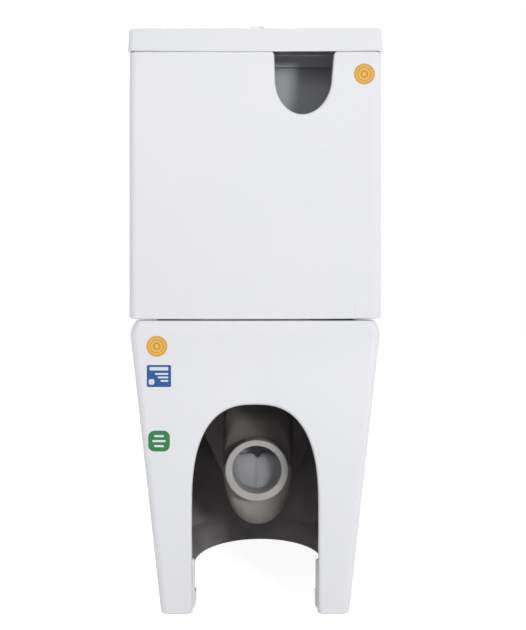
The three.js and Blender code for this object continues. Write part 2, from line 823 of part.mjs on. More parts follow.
function addFlushValve() {
  const at = (body) => body.translate(0, tankY, 0);
  const flangeTop = valveFlangeZ + valveFlangeHeight;
  const [tail, bore, flange, lip] = [tailDiameter, tailBore, valveFlangeDiameter, valveSeatDiameter]
    .map((diameter) => diameter / 2);
  const stem = lathe([
    [bore, tankFootZ - tailDrop], [tail, tankFootZ - tailDrop], [tail, valveFlangeZ], [flange, valveFlangeZ],
    [flange, flangeTop], [lip, flangeTop], [lip, valveSeatZ], [bore, valveSeatZ], [bore, tankFootZ - tailDrop],
  ], mediumSegments);
  const ring = tube(bridgeRingDiameter, bridgeRingDiameter - 2 * bridgeThickness,
    bridgeTopZ - bridgeRingHeight, bridgeTopZ, mediumSegments);
  const legOut = bridgeRingDiameter / 2 - bridgeThickness / 4;
  const legs = [0, 1, 2, 3].map((turn) => block(
    legOut - bridgeThickness * bridgeDepthShare, legOut, -bridgeWidth / 2, bridgeWidth / 2,
    flangeTop - overrun, bridgeTopZ - bridgeRingHeight / 2,
  ).rotate([0, 0, 45 + 90 * turn]));
  add('flush_valve_base', at(join([stem, ring, ...legs])), whitePlastic);
  add('flush_valve_washer',
    at(tube(valveFlangeDiameter, tailDiameter + runGap, valveWasherZ, valveFlangeZ - touchGap, mediumSegments)), rubber);
  const nutTop = tankFootZ - touchGap;
  add('flush_valve_back_nut',
    at(nut(backNutDiameter, tailDiameter + runGap, nutTop - backNutHeight, nutTop, mediumSegments)), greyPlastic);

  const windowTop = towerTopZ - towerTopBand;
  const half = towerDiameter / 2 + overrun;
  const shell = tube(towerDiameter, towerDiameter - 2 * towerWall, towerFootZ, towerTopZ, mediumSegments);
  const window = (across, along) => block(-across, across, -along, along, windowTop - towerWindowHeight, windowTop);
  const tower = shell
    .subtract(window(half, towerWindowWidth / 2))
    .subtract(window(towerWindowWidth / 2, half));
  add('flush_valve_tower', at(tower), whitePlastic);

  const capFoot = towerTopZ + touchGap;
  const guides = sides.map(([, sign]) => disc(plungerGuideDiameter, capFoot, valveCapTopZ + plungerGuideHeight)
    .translate(sign * plungerSpacing / 2, 0, 0));
  const bores = sides.map(([, sign]) => disc(plungerDiameter + 2 * runGap,
    capFoot - overrun, valveCapTopZ + plungerGuideHeight + overrun).translate(sign * plungerSpacing / 2, 0, 0));
  const cap = bores.reduce((whole, cut) => whole.subtract(cut),
    join([disc(valveCapDiameter, capFoot, valveCapTopZ, mediumSegments), ...guides]));
  add('flush_valve_cap', at(cap), bluePlastic);

  const [out, inside, foot] = [coreDiameter / 2, coreBore / 2, coreFlangeDiameter / 2];
  const coreLow = valveSeatZ - coreSealThickness;
  const coreTop = coreFlangeZ + coreHeight;
  add('flush_valve_core', at(lathe([
    [inside, coreLow], [out, coreLow], [out, coreFlangeZ], [foot, coreFlangeZ],
    [foot, coreFlangeZ + coreFlangeHeight], [out, coreFlangeZ + coreFlangeHeight],
    [out, coreTop], [inside, coreTop], [inside, coreLow],
  ], mediumSegments)), whitePlastic);
  const sealLow = valveSeatZ + touchGap;
  add('flush_valve_core_seal',
    at(tube(coreSealDiameter, coreDiameter + runGap, sealLow, sealLow + coreSealThickness, mediumSegments)), rubber);

  const [thin, wide] = [plungerDiameter / 2, plungerHeadDiameter / 2];
  for (const [name, sign, material] of [['half', 1, whitePlastic], ['full', -1, greyPlastic]]) {
    add(`${name}_flush_plunger`, at(lathe([
      [0, capFoot - plungerDrop], [thin, capFoot - plungerDrop], [thin, plungerTopZ - plungerHeadHeight],
      [wide, plungerTopZ - plungerHeadHeight], [wide, plungerTopZ], [0, plungerTopZ],
    ]).translate(sign * plungerSpacing / 2, 0, 0)), material);
  }
}

// The push button: a flanged housing held by a ring nut, and two buttons that share one dome
function addButtonSet() {
  const at = (body) => body.translate(0, tankY, 0);
  const flangeFoot = lidCrownZ + touchGap;
  const flangeTop = flangeFoot + housingFlangeHeight;
  const housingFoot = flangeFoot - housingDepth;
  const [barrel, bore, flange] = [housingBarrel, housingBore, housingFlange].map((diameter) => diameter / 2);
  const floorTop = housingFoot + housingFloor;
  const spacing = plungerSpacing / 2;
  const holes = sides.map(([, sign]) => disc(rodHole, housingFoot - overrun, floorTop + overrun)
    .translate(sign * spacing, 0, 0));
  const housing = holes.reduce((whole, cut) => whole.subtract(cut), lathe([
    [0, housingFoot], [barrel, housingFoot], [barrel, flangeFoot], [flange, flangeFoot],
    [flange, flangeFoot + housingFlangeHeight / 4], [flange - housingFlangeHeight, flangeTop],
    [bore, flangeTop], [bore, floorTop], [0, floorTop],
  ], mediumSegments));
  add('button_housing', at(housing), chrome);
  const nutTop = lidPlateZ - touchGap;
  add('button_ring_nut', at(tube(ringNutDiameter, housingBarrel + 2 * runGap, nutTop - ringNutHeight, nutTop,
    mediumSegments)), whitePlastic);

  const radius = buttonDiameter / 2;
  const skirtFoot = flangeTop - buttonSkirt;
  const domeSegments = 5;
  const arc = Array.from({ length: domeSegments }, (_, i) => {
    const turn = Math.PI / 2 * (i + 1) / domeSegments;
    return [radius * Math.cos(turn), flangeTop + buttonDome * Math.sin(turn)];
  });
  arc.at(-1)[0] = 0;
  const dome = lathe([[0, skirtFoot], [radius, skirtFoot], [radius, flangeTop], ...arc], mediumSegments);
  const split = (sign) => {
    const edge = buttonSplitOffset + sign * buttonSplitGap / 2;
    const far = -sign * (radius + overrun);
    return block(Math.min(edge, far), Math.max(edge, far), -radius - overrun, radius + overrun,
      skirtFoot - overrun, flangeTop + buttonDome + overrun);
  };
  const rodTop = skirtFoot - touchGap;
  const rodFoot = plungerTopZ + touchGap;
  for (const [name, sign] of [['half', 1], ['full', -1]]) {
    const rodAt = (body) => at(body.translate(sign * spacing, 0, 0));
    add(`${name}_flush_button`, at(dome.subtract(split(sign))), chrome);
    add(`${name}_flush_rod`, rodAt(disc(rodDiameter, rodFoot, rodTop)), whitePlastic);
    add(`${name}_flush_spring`, rodAt(tube(springDiameter, springBore, floorTop + touchGap, rodTop)), steel);
  }
}

// The fill valve stands on the tank floor. A cup on its column floats up and tips a lever on its head.
const fillFlangeZ = tankFloorZ + fillWasherThickness + 2 * touchGap;
const columnTopZ = fillFlangeZ + columnHeight;
const fillHeadTopZ = columnTopZ + touchGap + fillHeadHeight;
const leverZ = fillHeadTopZ + leverPostHeight / 2;
const leverPivotY = tankY + leverPivotOffset;

function addFillValve() {
  const at = (body) => body.translate(-fillSetover, tankY, 0);
  const [shank, flange, column] = [shankDiameter, fillFlangeDiameter, columnDiameter].map((size) => size / 2);
  const low = tankFootZ - shankDrop;
  add('fill_valve_column', at(lathe([
    [0, low], [shank, low], [shank, fillFlangeZ], [flange, fillFlangeZ], [flange, fillFlangeZ + fillFlangeHeight],
    [column, fillFlangeZ + fillFlangeHeight], [column, columnTopZ], [0, columnTopZ],
  ])), whitePlastic);
  add('fill_valve_washer', at(tube(fillFlangeDiameter, shankDiameter + runGap,
    tankFloorZ + touchGap, fillFlangeZ - touchGap)), rubber);
  const nutTop = tankFootZ - touchGap;
  add('fill_valve_back_nut',
    at(nut(shankNutDiameter, shankDiameter + runGap, nutTop - shankNutHeight, nutTop)), brass);

  const headFoot = columnTopZ + touchGap;
  const postX = leverWidth / 2 + runGap;
  const posts = sides.map(([, sign]) => block(
    Math.min(sign * postX, sign * (postX + leverPostThickness)),
    Math.max(sign * postX, sign * (postX + leverPostThickness)),
    leverPivotOffset - leverPivotDiameter, leverPivotOffset + leverPivotDiameter,
    fillHeadTopZ - overrun, fillHeadTopZ + leverPostHeight,
  ));
  const pin = crossDisc(leverPivotDiameter, -postX - overrun / 2, postX + overrun / 2)
    .translate(0, leverPivotOffset, leverZ);
  const [head, cap] = [fillHeadDiameter / 2, fillCapDiameter / 2];
  const capFoot = fillHeadTopZ - fillCapHeight;
  add('fill_valve_head', at(join([lathe([
    [0, headFoot], [column, headFoot], [head, headFoot + fillCapHeight], [head, capFoot],
    [cap, capFoot], [cap, fillHeadTopZ], [0, fillHeadTopZ],
  ]), ...posts, pin])), greyPlastic);

  const cupTop = columnTopZ - floatDrop + floatHeight;
  const cupFoot = cupTop - floatHeight;
  const [cup, bore] = [floatDiameter / 2, floatBore / 2];
  const cupBody = lathe([
    [bore, cupFoot], [bore + floatWall, cupFoot], [bore + floatWall, cupTop - floatWall],
    [cup - floatWall, cupTop - floatWall], [cup - floatWall, cupFoot], [cup, cupFoot],
    [cup, cupTop], [bore, cupTop], [bore, cupFoot],
  ]);
  const rodTop = leverZ - leverThickness / 2 - touchGap;
  const rod = disc(floatRodDiameter, cupTop - floatWall / 2, rodTop).translate(0, -floatRodOffset, 0);
  add('float_cup', at(cupBody.add(rod)), bluePlastic);

  const reach = leverPivotOffset + floatRodOffset + leverTip;
  const bar = block(-leverWidth / 2, leverWidth / 2, -reach, leverPivotDiameter,
    -leverThickness / 2, leverThickness / 2);
  const eye = crossDisc(leverPivotDiameter + 2 * leverThickness / 2 + runGap, -leverWidth / 2, leverWidth / 2);
  const pivotHole = crossDisc(leverPivotDiameter + runGap, -leverWidth, leverWidth);
  add('float_lever', bar.add(eye).subtract(pivotHole).translate(-fillSetover, leverPivotY, leverZ), whitePlastic);
}

// The seat ring, its cover and the two hinges that carry both on one axis
function seatLevel(z, width, by, backGap) {
  return {
    z,
    width: width - 2 * by,
    front: frontY + seatSetback + by,
    middle: frontY + seatSetback + seatNoseLength,
    back: hingeY - backGap - by,
  };
}

function seatCorner(width, backGap) {
  const straight = hingeY - backGap - (frontY + seatSetback + seatNoseLength);
  return [seatBackCorner / (width / 2), seatBackCorner / straight];
}

// A round lug on the hinge axis with a neck forward to the piece that it carries
function hingeLug(diameter, from, to, reach, neckLow, neckHigh) {
  const [low, high] = [Math.min(from, to), Math.max(from, to)];
  return crossDisc(diameter, low, high).add(block(low, high, -reach, 0, neckLow, neckHigh));
}

function addSeat() {
  const seatGroup = new THREE.Group();
  seatGroup.position.set(0, hingeY, hingeZ);
  const coverGroup = new THREE.Group();
  coverGroup.position.set(0, hingeY, hingeZ);
  coverGroup.rotation.x = -THREE.MathUtils.degToRad(coverOpenAngle);
  toilet.add(seatGroup, coverGroup);
  const home = (body) => body.translate(0, -hingeY, -hingeZ);

  const edge = seatEdgeRadius;
  const outside = loft(unitDee(...seatCorner(seatWidth, seatBackGap)), [
    seatLevel(seatFootZ, seatWidth, edge / 2, seatBackGap),
    seatLevel(seatFootZ + edge / 2, seatWidth, 0, seatBackGap),
    seatLevel(seatTopZ - edge, seatWidth, 0, seatBackGap),
    seatLevel(seatTopZ - edge * edgeTurnShare, seatWidth, edge * edgeTurnShare, seatBackGap),
    seatLevel(seatTopZ, seatWidth, edge, seatBackGap),
  ]);
  const holeLevel = (z, by) => ({
    z,
    width: seatHoleWidth + 2 * by,
    front: frontY + seatHoleSetback - by,
    middle: frontY + seatHoleSetback + seatHoleLength * seatHoleMiddleShare,
    back: frontY + seatHoleSetback + seatHoleLength + by,
  });
  const hole = loft(unitRound(), [
    holeLevel(seatFootZ - overrun, 0),
    holeLevel(seatTopZ - seatHoleFlare, 0),
    holeLevel(seatTopZ, seatHoleFlare),
    holeLevel(seatTopZ + overrun, seatHoleFlare),
  ], bowlSegments);
  const postHalf = hingePostWidth / 2;
  const neckLow = seatFootZ + edge - hingeZ;
  const ringLugs = sides.map(([, sign]) => {
    const from = sign * (hingeSpacing / 2 - postHalf - runGap);
    const pinHole = crossDisc(hingePinDiameter + runGap, from - 2 * hingeLugWidth, from + 2 * hingeLugWidth);
    return hingeLug(lugDiameter, from, from - sign * hingeLugWidth, seatBackGap + overrun, neckLow,
      seatTopZ - edge - hingeZ).subtract(pinHole);
  });
  add('seat_ring', join([home(outside.subtract(hole)), ...ringLugs]), seatPlastic, seatGroup);

  const coverLevel = (z, by) => seatLevel(z, coverWidth, by, coverBackGap);
  const coverOutline = unitDee(...seatCorner(coverWidth, coverBackGap));
  const coverOutside = loft(coverOutline, [
    coverLevel(coverFootZ, 0),
    coverLevel(coverTopZ - 2 * edge, 0),
    coverLevel(coverTopZ - edge * coverTurnShare, edge * coverTurnShare),
    coverLevel(coverTopZ, 2 * edge),
  ]);
  const coverSpace = loft(coverOutline, [
    coverLevel(coverFootZ - overrun, coverSkirt),
    coverLevel(coverTopZ - coverPlate, coverSkirt),
  ]);
  const coverLugs = sides.map(([, sign]) => {
    const from = sign * (hingeSpacing / 2 + postHalf + runGap);
    const pocket = crossDisc(damperDiameter + runGap, from - 2 * hingeLugWidth, from + 2 * hingeLugWidth);
    return hingeLug(coverLugDiameter, from, from + sign * hingeLugWidth, coverBackGap + coverSkirt,
      coverFootZ - hingeZ, coverTopZ - coverPlate - hingeZ).subtract(pocket);
  });
  add('seat_cover', join([home(coverOutside.subtract(coverSpace)), ...coverLugs]), seatPlastic, coverGroup);

  const bumperLow = panTopHeight + touchGap - hingeZ;
  const bumperHigh = seatFootZ - touchGap - hingeZ;
  const bumpers = [
    ['front', frontBumperSetback, frontBumperInset],
    ['back', backBumperSetback, backBumperInset],
  ];
  for (const [end, setback, inward] of bumpers) {
    for (const [side, sign] of sides) {
      const [x, y] = [sign * (seatWidth / 2 - inward), frontY + setback - hingeY];
      add(`seat_bumper_${end}_${side}`, block(
        x - bumperWidth / 2, x + bumperWidth / 2, y - bumperLength / 2, y + bumperLength / 2, bumperLow, bumperHigh,
      ), softRubber, seatGroup);
    }
  }
  for (const [side, sign] of sides) {
    const [low, high] = [seatTopZ + touchGap - hingeZ, coverTopZ - coverPlate - touchGap - hingeZ];
    add(`cover_bumper_${side}`, disc(coverBumperDiameter, low, high)
      .translate(sign * coverBumperSpacing, frontY + coverBumperSetback * 3 - hingeY, 0), softRubber, coverGroup);
  }

  for (const [side, sign] of sides) {
    const x = sign * hingeSpacing / 2;
    const bore = crossDisc(hingePinDiameter + runGap, -hingeFootDiameter, hingeFootDiameter);
    const post = crossDisc(hingePostDiameter, -postHalf, postHalf)
      .add(block(-postHalf, postHalf, -hingePostDiameter / 2, hingePostDiameter / 2, -hingeHeight + overrun, 0));
    const footLow = -hingeHeight + touchGap;
    const foot = disc(hingeFootDiameter, footLow, footLow + hingeFootHeight, mediumSegments);
    const base = foot.add(post).subtract(bore).translate(x, hingeY, hingeZ);
    add(`hinge_base_${side}`, base, chrome);
    const inner = sign * (hingeSpacing / 2 - postHalf - runGap - hingeLugWidth);
    const outer = sign * (hingeSpacing / 2 + postHalf + runGap + hingeLugWidth);
    const pin = crossDisc(hingePinDiameter, inner, outer).translate(0, hingeY, hingeZ);
    add(`hinge_pin_${side}`, pin, steel);
    const damper = crossDisc(damperDiameter, outer - sign * hingeLugWidth, outer)
      .subtract(crossDisc(hingePinDiameter + runGap, outer - sign * 2 * hingeLugWidth, outer + sign * hingeLugWidth));
    add(`hinge_damper_${side}`, damper, greyPlastic, coverGroup);
    const studTop = panTopHeight;
    const studEnd = deckUnderZ - studTail;
    add(`hinge_stud_${side}`, disc(studDiameter, studEnd, studTop).translate(x, hingeY, 0), steel);
    const nutTop = deckUnderZ - touchGap;
    add(`hinge_nut_${side}`, tube(studNutDiameter, studDiameter + runGap, nutTop - studNutHeight, nutTop)
      .translate(x, hingeY, 0), whitePlastic);
  }
}

addPan();
add('cistern_tank', makeTank(), china);
add('cistern_lid', makeLid(), china);
addTankFixings();
addFlushValve();
addButtonSet();
addFillValve();
addSeat();

export default toilet;
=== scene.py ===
import math

import bmesh
import bpy
from mathutils import Matrix, Vector


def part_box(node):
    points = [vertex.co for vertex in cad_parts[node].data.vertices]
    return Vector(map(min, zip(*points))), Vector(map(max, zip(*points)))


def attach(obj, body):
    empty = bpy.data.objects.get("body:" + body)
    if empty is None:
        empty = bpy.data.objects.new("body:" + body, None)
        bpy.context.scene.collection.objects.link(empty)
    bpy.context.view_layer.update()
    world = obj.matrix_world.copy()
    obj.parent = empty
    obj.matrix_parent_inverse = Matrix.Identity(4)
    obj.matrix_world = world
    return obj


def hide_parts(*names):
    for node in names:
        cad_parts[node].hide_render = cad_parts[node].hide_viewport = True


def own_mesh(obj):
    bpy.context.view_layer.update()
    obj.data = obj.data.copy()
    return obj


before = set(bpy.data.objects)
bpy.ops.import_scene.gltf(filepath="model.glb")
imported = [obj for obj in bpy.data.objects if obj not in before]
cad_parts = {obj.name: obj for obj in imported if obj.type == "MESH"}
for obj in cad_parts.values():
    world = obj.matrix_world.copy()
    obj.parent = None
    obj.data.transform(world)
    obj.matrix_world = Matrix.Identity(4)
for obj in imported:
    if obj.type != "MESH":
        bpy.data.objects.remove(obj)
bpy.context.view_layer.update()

# The view. The toilet is seen from behind, level with the middle of its height, a little to one
# side, and from about two metres away. The shift keeps the upright edges upright.
picture_width_px = 526
picture_height_px = 630
level_column_px = 280
level_row_px = 264
focal_px = 1250
sensor = 36.0
eye = Vector((-0.036, 2.125, 0.505))

lens = bpy.data.cameras.new("picture_lens")
lens.sensor_width = sensor
lens.lens = sensor * focal_px / picture_height_px
lens.shift_x = (picture_width_px / 2 - level_column_px) / picture_height_px
lens.shift_y = (level_row_px - picture_height_px / 2) / picture_height_px
camera = bpy.data.objects.new("picture_camera", lens)
camera.location = eye
camera.rotation_euler = (math.radians(90), 0, math.radians(180))
bpy.context.scene.collection.objects.link(camera)
bpy.context.scene.camera = camera
bpy.context.scene.view_settings.view_transform = "Standard"


# The glaze and the bare clay. Vitreous china is slip-cast, sprayed with a white glaze and fired
# once. The glaze lies a little wavy, with a faint orange peel. Where no glaze was sprayed the clay
# stays rough, cream and grey. Some copies below carry painted light and shade: a grey glaze as
# painted shade in the outlet and inside the tank, a paler clay as painted light on the spigot's
# end, and a dark clay as painted shade on the top of the trap's web.
def tone(red, green, blue):
    def linear(value):
        share = value / 255
        return share / 12.92 if share <= 0.04045 else ((share + 0.055) / 1.055) ** 2.4

    return (linear(red), linear(green), linear(blue), 1.0)


def surface_group(name, inputs):
    """A group of shader nodes that every finish of its kind shares."""
    group = bpy.data.node_groups.new(name, "ShaderNodeTree")
    for socket, value in inputs.items():
        kind = "NodeSocketFloat" if isinstance(value, float) else "NodeSocketColor"
        made = group.interface.new_socket(name=socket, in_out="INPUT", socket_type=kind)
        made.default_value = value
    for socket, kind in (("Color", "Color"), ("Roughness", "Float"), ("Height", "Float")):
        group.interface.new_socket(name=socket, in_out="OUTPUT", socket_type=f"NodeSocket{kind}")
    return group, group.nodes.new("NodeGroupInput"), group.nodes.new("NodeGroupOutput")


def feed(group, value, socket):
    """Sets a socket to a plain value, or links another socket to it."""
    if isinstance(value, bpy.types.NodeSocket):
        group.links.new(value, socket)
    else:
        socket.default_value = value


def grain(group, scale, detail, stretch=(1, 1, 1)):
    place = group.nodes.new("ShaderNodeTexCoord")
    mapping = group.nodes.new("ShaderNodeMapping")
    mapping.inputs["Scale"].default_value = stretch
    noise = group.nodes.new("ShaderNodeTexNoise")
    noise.inputs["Scale"].default_value = scale
    noise.inputs["Detail"].default_value = detail
    group.links.new(place.outputs["Object"], mapping.inputs["Vector"])
    group.links.new(mapping.outputs["Vector"], noise.inputs["Vector"])
    return noise.outputs["Fac"]


def ramp(group, value, low, high, to_low=0.0, to_high=1.0):
    spread = group.nodes.new("ShaderNodeMapRange")
    ends = {"Value": value, "From Min": low, "From Max": high, "To Min": to_low, "To Max": to_high}
    for socket, end in ends.items():
        feed(group, end, spread.inputs[socket])
    return spread.outputs["Result"]


def blended(group, share, first, second):
    mix = group.nodes.new("ShaderNodeMix")
    mix.data_type = "RGBA"
    group.links.new(share, mix.inputs["Factor"])
    feed(group, first, mix.inputs[6])
    feed(group, second, mix.inputs[7])
    return mix.outputs[2]


def summed(group, first, second, weight):
    node = group.nodes.new("ShaderNodeMath")
    node.operation = "MULTIPLY_ADD"
    for value, socket in zip((second, weight, first), node.inputs):
        feed(group, value, socket)
    return node.outputs[0]


def given(group, leave, *values):
    """Gives a group its colour, roughness and height."""
    for value, socket in zip(values, leave.inputs):
        group.links.new(value, socket)


glaze_group, glaze, glaze_out = surface_group("sprayed_glaze", {
    "Color": (0.8, 0.8, 0.8, 1), "Pool Color": (0.75, 0.75, 0.78, 1),
    "Smooth": 0.1, "Dull": 0.2, "Peel": 0.2,
})
pooling = ramp(glaze_group, grain(glaze_group, 4.5, 3), 0.35, 0.7)
pinholes = ramp(glaze_group, grain(glaze_group, 230, 2), 0.8, 0.84)
clean_glaze = blended(glaze_group, pooling, glaze.outputs["Color"], glaze.outputs["Pool Color"])
given(
    glaze_group, glaze_out,
    blended(glaze_group, pinholes, clean_glaze, tone(120, 116, 110)),
    ramp(glaze_group, grain(glaze_group, 14, 4), 0.3, 0.75,
         glaze.outputs["Smooth"], glaze.outputs["Dull"]),
    summed(glaze_group, grain(glaze_group, 9, 2), grain(glaze_group, 420, 1),
           glaze.outputs["Peel"]),
)

clay_group, clay_in, clay_out = surface_group("fired_clay", {
    "Color": (0.4, 0.38, 0.35, 1), "Stain Color": (0.3, 0.28, 0.26, 1), "Grit": 0.5,
})
stains = ramp(clay_group, grain(clay_group, 11, 5), 0.38, 0.66)
given(
    clay_group, clay_out,
    blended(clay_group, stains, clay_in.outputs["Color"], clay_in.outputs["Stain Color"]),
    ramp(clay_group, grain(clay_group, 60, 3), 0.3, 0.7, 0.62, 0.86),
    summed(clay_group, grain(clay_group, 45, 4), grain(clay_group, 700, 2),
           clay_in.outputs["Grit"]),
)


def finish(name, group, color, second_color, levels, relief, distance, **shader_values):
    """A material from a group, with two colours and then the levels in the group's own order."""
    material = bpy.data.materials.new(name)
    material.use_nodes = True
    tree = material.node_tree
    shader = tree.nodes["Principled BSDF"]
    for socket, value in shader_values.items():
        shader.inputs[socket.replace("_", " ")].default_value = value
    pattern = tree.nodes.new("ShaderNodeGroup")
    pattern.node_tree = group
    for socket, value in zip(pattern.inputs, (tone(*color), tone(*second_color), *levels)):
        socket.default_value = value
    bump = tree.nodes.new("ShaderNodeBump")
    bump.inputs["Strength"].default_value = relief
    bump.inputs["Distance"].default_value = distance
    tree.links.new(pattern.outputs["Color"], shader.inputs["Base Color"])
    tree.links.new(pattern.outputs["Roughness"], shader.inputs["Roughness"])
    tree.links.new(pattern.outputs["Height"], bump.inputs["Height"])
    tree.links.new(bump.outputs["Normal"], shader.inputs["Normal"])
    return material


glazed_china = finish(
    "glazed_china", glaze_group, (231, 231, 235), (228, 229, 233), (0.1, 0.2, 0.05), 0.12, 0.004,
    Coat_Weight=0.35, Coat_Roughness=0.06,
)
# The white glaze painted grey: painted shade inside the trap's outlet.
outlet_glaze = finish(
    "outlet_glaze", glaze_group, (168, 169, 174), (157, 158, 164), (0.25, 0.4, 0.05), 0.12, 0.004,
)
# The bare clay painted paler: painted light on the spigot's end and lip, which face the lamps.
ring_clay = finish(
    "ring_clay", clay_group, (204, 202, 198), (189, 186, 182), (0.35,), 0.3, 0.0008,
)
bare_clay = finish(
    "bare_clay", clay_group, (184, 181, 178), (152, 148, 144), (0.6,), 0.45, 0.0015,
)
# The bare clay painted dark grey: painted shade on the top of the trap's web, under the deck.
web_clay = finish("web_clay", clay_group, (122, 116, 116), (104, 98, 98), (0.4,), 0.3, 0.0012)
skirt_clay = finish(
    "skirt_clay", clay_group, (176, 170, 173), (152, 147, 151), (0.4,), 0.3, 0.0012,
)


# The pan. One casting: skirt, deck, rim, bowl, trapway and outlet are a single skin of china about
# 12 mm thick. It runs down the bowl, through the trap and out at the outlet, back along the outside
# of the trap and the bowl, under the deck and down the inside of the skirt to the foot.
skirt_low, skirt_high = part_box("pan_skirt")
wall_y = skirt_high.y
front_y = skirt_low.y
pan_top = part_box("pan_deck")[1].z
shoulder_width = skirt_high.x - skirt_low.x
china_wall = 0.012
deck_underside = pan_top - 0.014

nose_steps = 64
side_steps = 10
corner_steps = 6
back_steps = 18
rest_steps = 2 * side_steps + 2 * corner_steps + back_steps
oval_turns = [math.pi * i / nose_steps for i in range(nose_steps)]
oval_turns += [math.pi + math.pi * i / rest_steps for i in range(rest_steps)]
lip_turns = (0, math.pi / 6, math.pi / 3, math.pi / 2)


def dee(width, front, middle, back, corner, height):
    """A ring with a round nose, straight sides and a flat back with rounded corners."""
    half = width / 2
    straight = back - corner - middle
    places = []
    for i in range(nose_steps):
        turn = math.pi * i / nose_steps
        places.append((half * math.cos(turn), middle - (middle - front) * math.sin(turn)))
    for i in range(side_steps):
        places.append((-half, middle + straight * i / side_steps))
    for i in range(corner_steps):
        turn = math.pi / 2 * i / corner_steps
        y = back - corner + corner * math.sin(turn)
        places.append((corner - half - corner * math.cos(turn), y))
    for i in range(back_steps):
        places.append((corner - half + (width - 2 * corner) * i / back_steps, back))
    for i in range(corner_steps):
        turn = math.pi / 2 * i / corner_steps
        y = back - corner + corner * math.cos(turn)
        places.append((half - corner + corner * math.sin(turn), y))
    for i in range(side_steps):
        places.append((half, back - corner - straight * i / side_steps))
    return [Vector((x, y, height)) for x, y in places]


def bent(value, power):
    """A sine or cosine that turns an oval towards a rounded block."""
    return math.copysign(abs(value) ** power, value)


def hoop(width, fore, aft, y, z, tilt, square=1.0):
    """An oval ring across the bowl or the trap, flat at no tilt and facing the wall at 90."""
    lean = math.radians(tilt)
    down = Vector((0, -math.cos(lean), -math.sin(lean)))
    ring = []
    for turn in oval_turns:
        across, along = bent(math.cos(turn), square), bent(math.sin(turn), square)
        reach = fore if along > 0 else aft
        ring.append(Vector((width / 2 * across, y, z)) + down * reach * along)
    return ring


def flowing(rows, steps):
    """Rows of sizes with smooth rows added between them."""
    smooth = []
    last = len(rows) - 1
    for i in range(last):
        near = rows[max(i - 1, 0)], rows[i], rows[i + 1], rows[min(i + 2, last)]
        for step in range(steps):
            t = step / steps
            smooth.append(tuple(
                0.5 * (2 * b + (c - a) * t + (2 * a - 5 * b + 4 * c - d) * t**2
                       + (3 * b - a - 3 * c + d) * t**3)
                for a, b, c, d in zip(*near)
            ))
    return [*smooth, rows[last]]


def skin(rings, joined=False, marks=None):
    """A surface drawn through rings of points, closed on itself or with a cap at each end."""
    bm = bmesh.new()
    order = bm.verts.layers.int.new("order")
    bmesh.ops.create_circle(bm, segments=len(rings[0]), radius=1, cap_ends=not joined)
    bm.verts.ensure_lookup_table()
    for i, vert in enumerate(bm.verts):
        vert[order] = i
        vert.co = rings[0][i]
    edges = bm.edges[:]
    for number, ring in enumerate([*rings[1:], *rings[:joined]]):
        grown = bmesh.ops.extrude_edge_only(bm, edges=edges)["geom"]
        fresh = {part for part in grown if isinstance(part, bmesh.types.BMVert)}
        for vert in fresh:
            vert.co = ring[vert[order]]
        edges = [
            part for part in grown
            if isinstance(part, bmesh.types.BMEdge) and fresh.issuperset(part.verts)
        ]
        for part in grown if marks else ():
            if isinstance(part, bmesh.types.BMFace):
                part.material_index = marks[number]
    if joined:
        bmesh.ops.remove_doubles(bm, verts=bm.verts[:], dist=1e-7)
    else:
        bmesh.ops.contextual_create(bm, geom=edges)
    bmesh.ops.recalc_face_normals(bm, faces=bm.faces[:])
    return bm


def shaded(mesh):
    """Smooth shading that keeps the sharp turns."""
    mesh.shade_smooth()
    mesh.set_sharp_from_angle(angle=math.radians(38))


def made(bm, name, *materials):
    mesh = bpy.data.meshes.new(name)
    bm.to_mesh(mesh)
    bm.free()
    for material in materials:
        mesh.materials.append(material)
    shaded(mesh)
    piece = bpy.data.objects.new(name, mesh)
    bpy.context.scene.collection.objects.link(piece)
    return piece


def even_shading(piece):
    """Flat faces stay flat-shaded up to their rounded edges."""
    weighting = piece.modifiers.new("even_shading", "WEIGHTED_NORMAL")
    weighting.keep_sharp = True
    return piece


def placed(piece, body, slot, *nodes):
    if nodes:
        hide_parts(*nodes)
    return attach(piece, body)


def cut(piece, *tools, way="DIFFERENCE"):
    """Cuts closed shapes out of a piece."""
    for tool in tools:
        boolean = piece.modifiers.new("cut", "BOOLEAN")
        boolean.operation = way
        boolean.solver = "EXACT"
        boolean.object = tool
    depsgraph = bpy.context.evaluated_depsgraph_get()
    shape = piece.evaluated_get(depsgraph)
    piece.data = bpy.data.meshes.new_from_object(shape, depsgraph=depsgraph)
    piece.modifiers.clear()
    shaded(piece.data)
    for tool in tools:
        bpy.data.objects.remove(tool)
    return piece


def peg(radius, low, high, x, y, sides=48):
    bm = bmesh.new()
    bmesh.ops.create_cone(
        bm, cap_ends=True, segments=sides, radius1=radius, radius2=radius, depth=high - low,
        matrix=Matrix.Translation((x, y, (low + high) / 2)),
    )
    return made(bm, "peg")


# Height up the skirt, and how far the nose has swept forward there
nose_shares = [
    (0, 0), (0.08, 0.005), (0.22, 0.06), (0.36, 0.2), (0.5, 0.43), (0.64, 0.68), (0.78, 0.87),
    (0.9, 0.97), (1, 1),
]
foot_width = 0.273
foot_setback = 0.145
foot_nose = 0.15
top_nose = 0.225
back_corner = 0.012
shoulder_z = pan_top - 0.0255
foot_radius = 0.003
top_edge_width = shoulder_width - 0.015
top_edge_setback = 0.005


def skirt_ring(height_share, sweep_share, inward=0.0, height=None):
    width = foot_width + (shoulder_width - foot_width) * height_share
    front = front_y + foot_setback * (1 - sweep_share)
    middle = front + foot_nose + (top_nose - foot_nose) * sweep_share
    return dee(
        width - 2 * inward, front + inward, middle, wall_y - inward, back_corner,
        shoulder_z * height_share if height is None else height,
    )


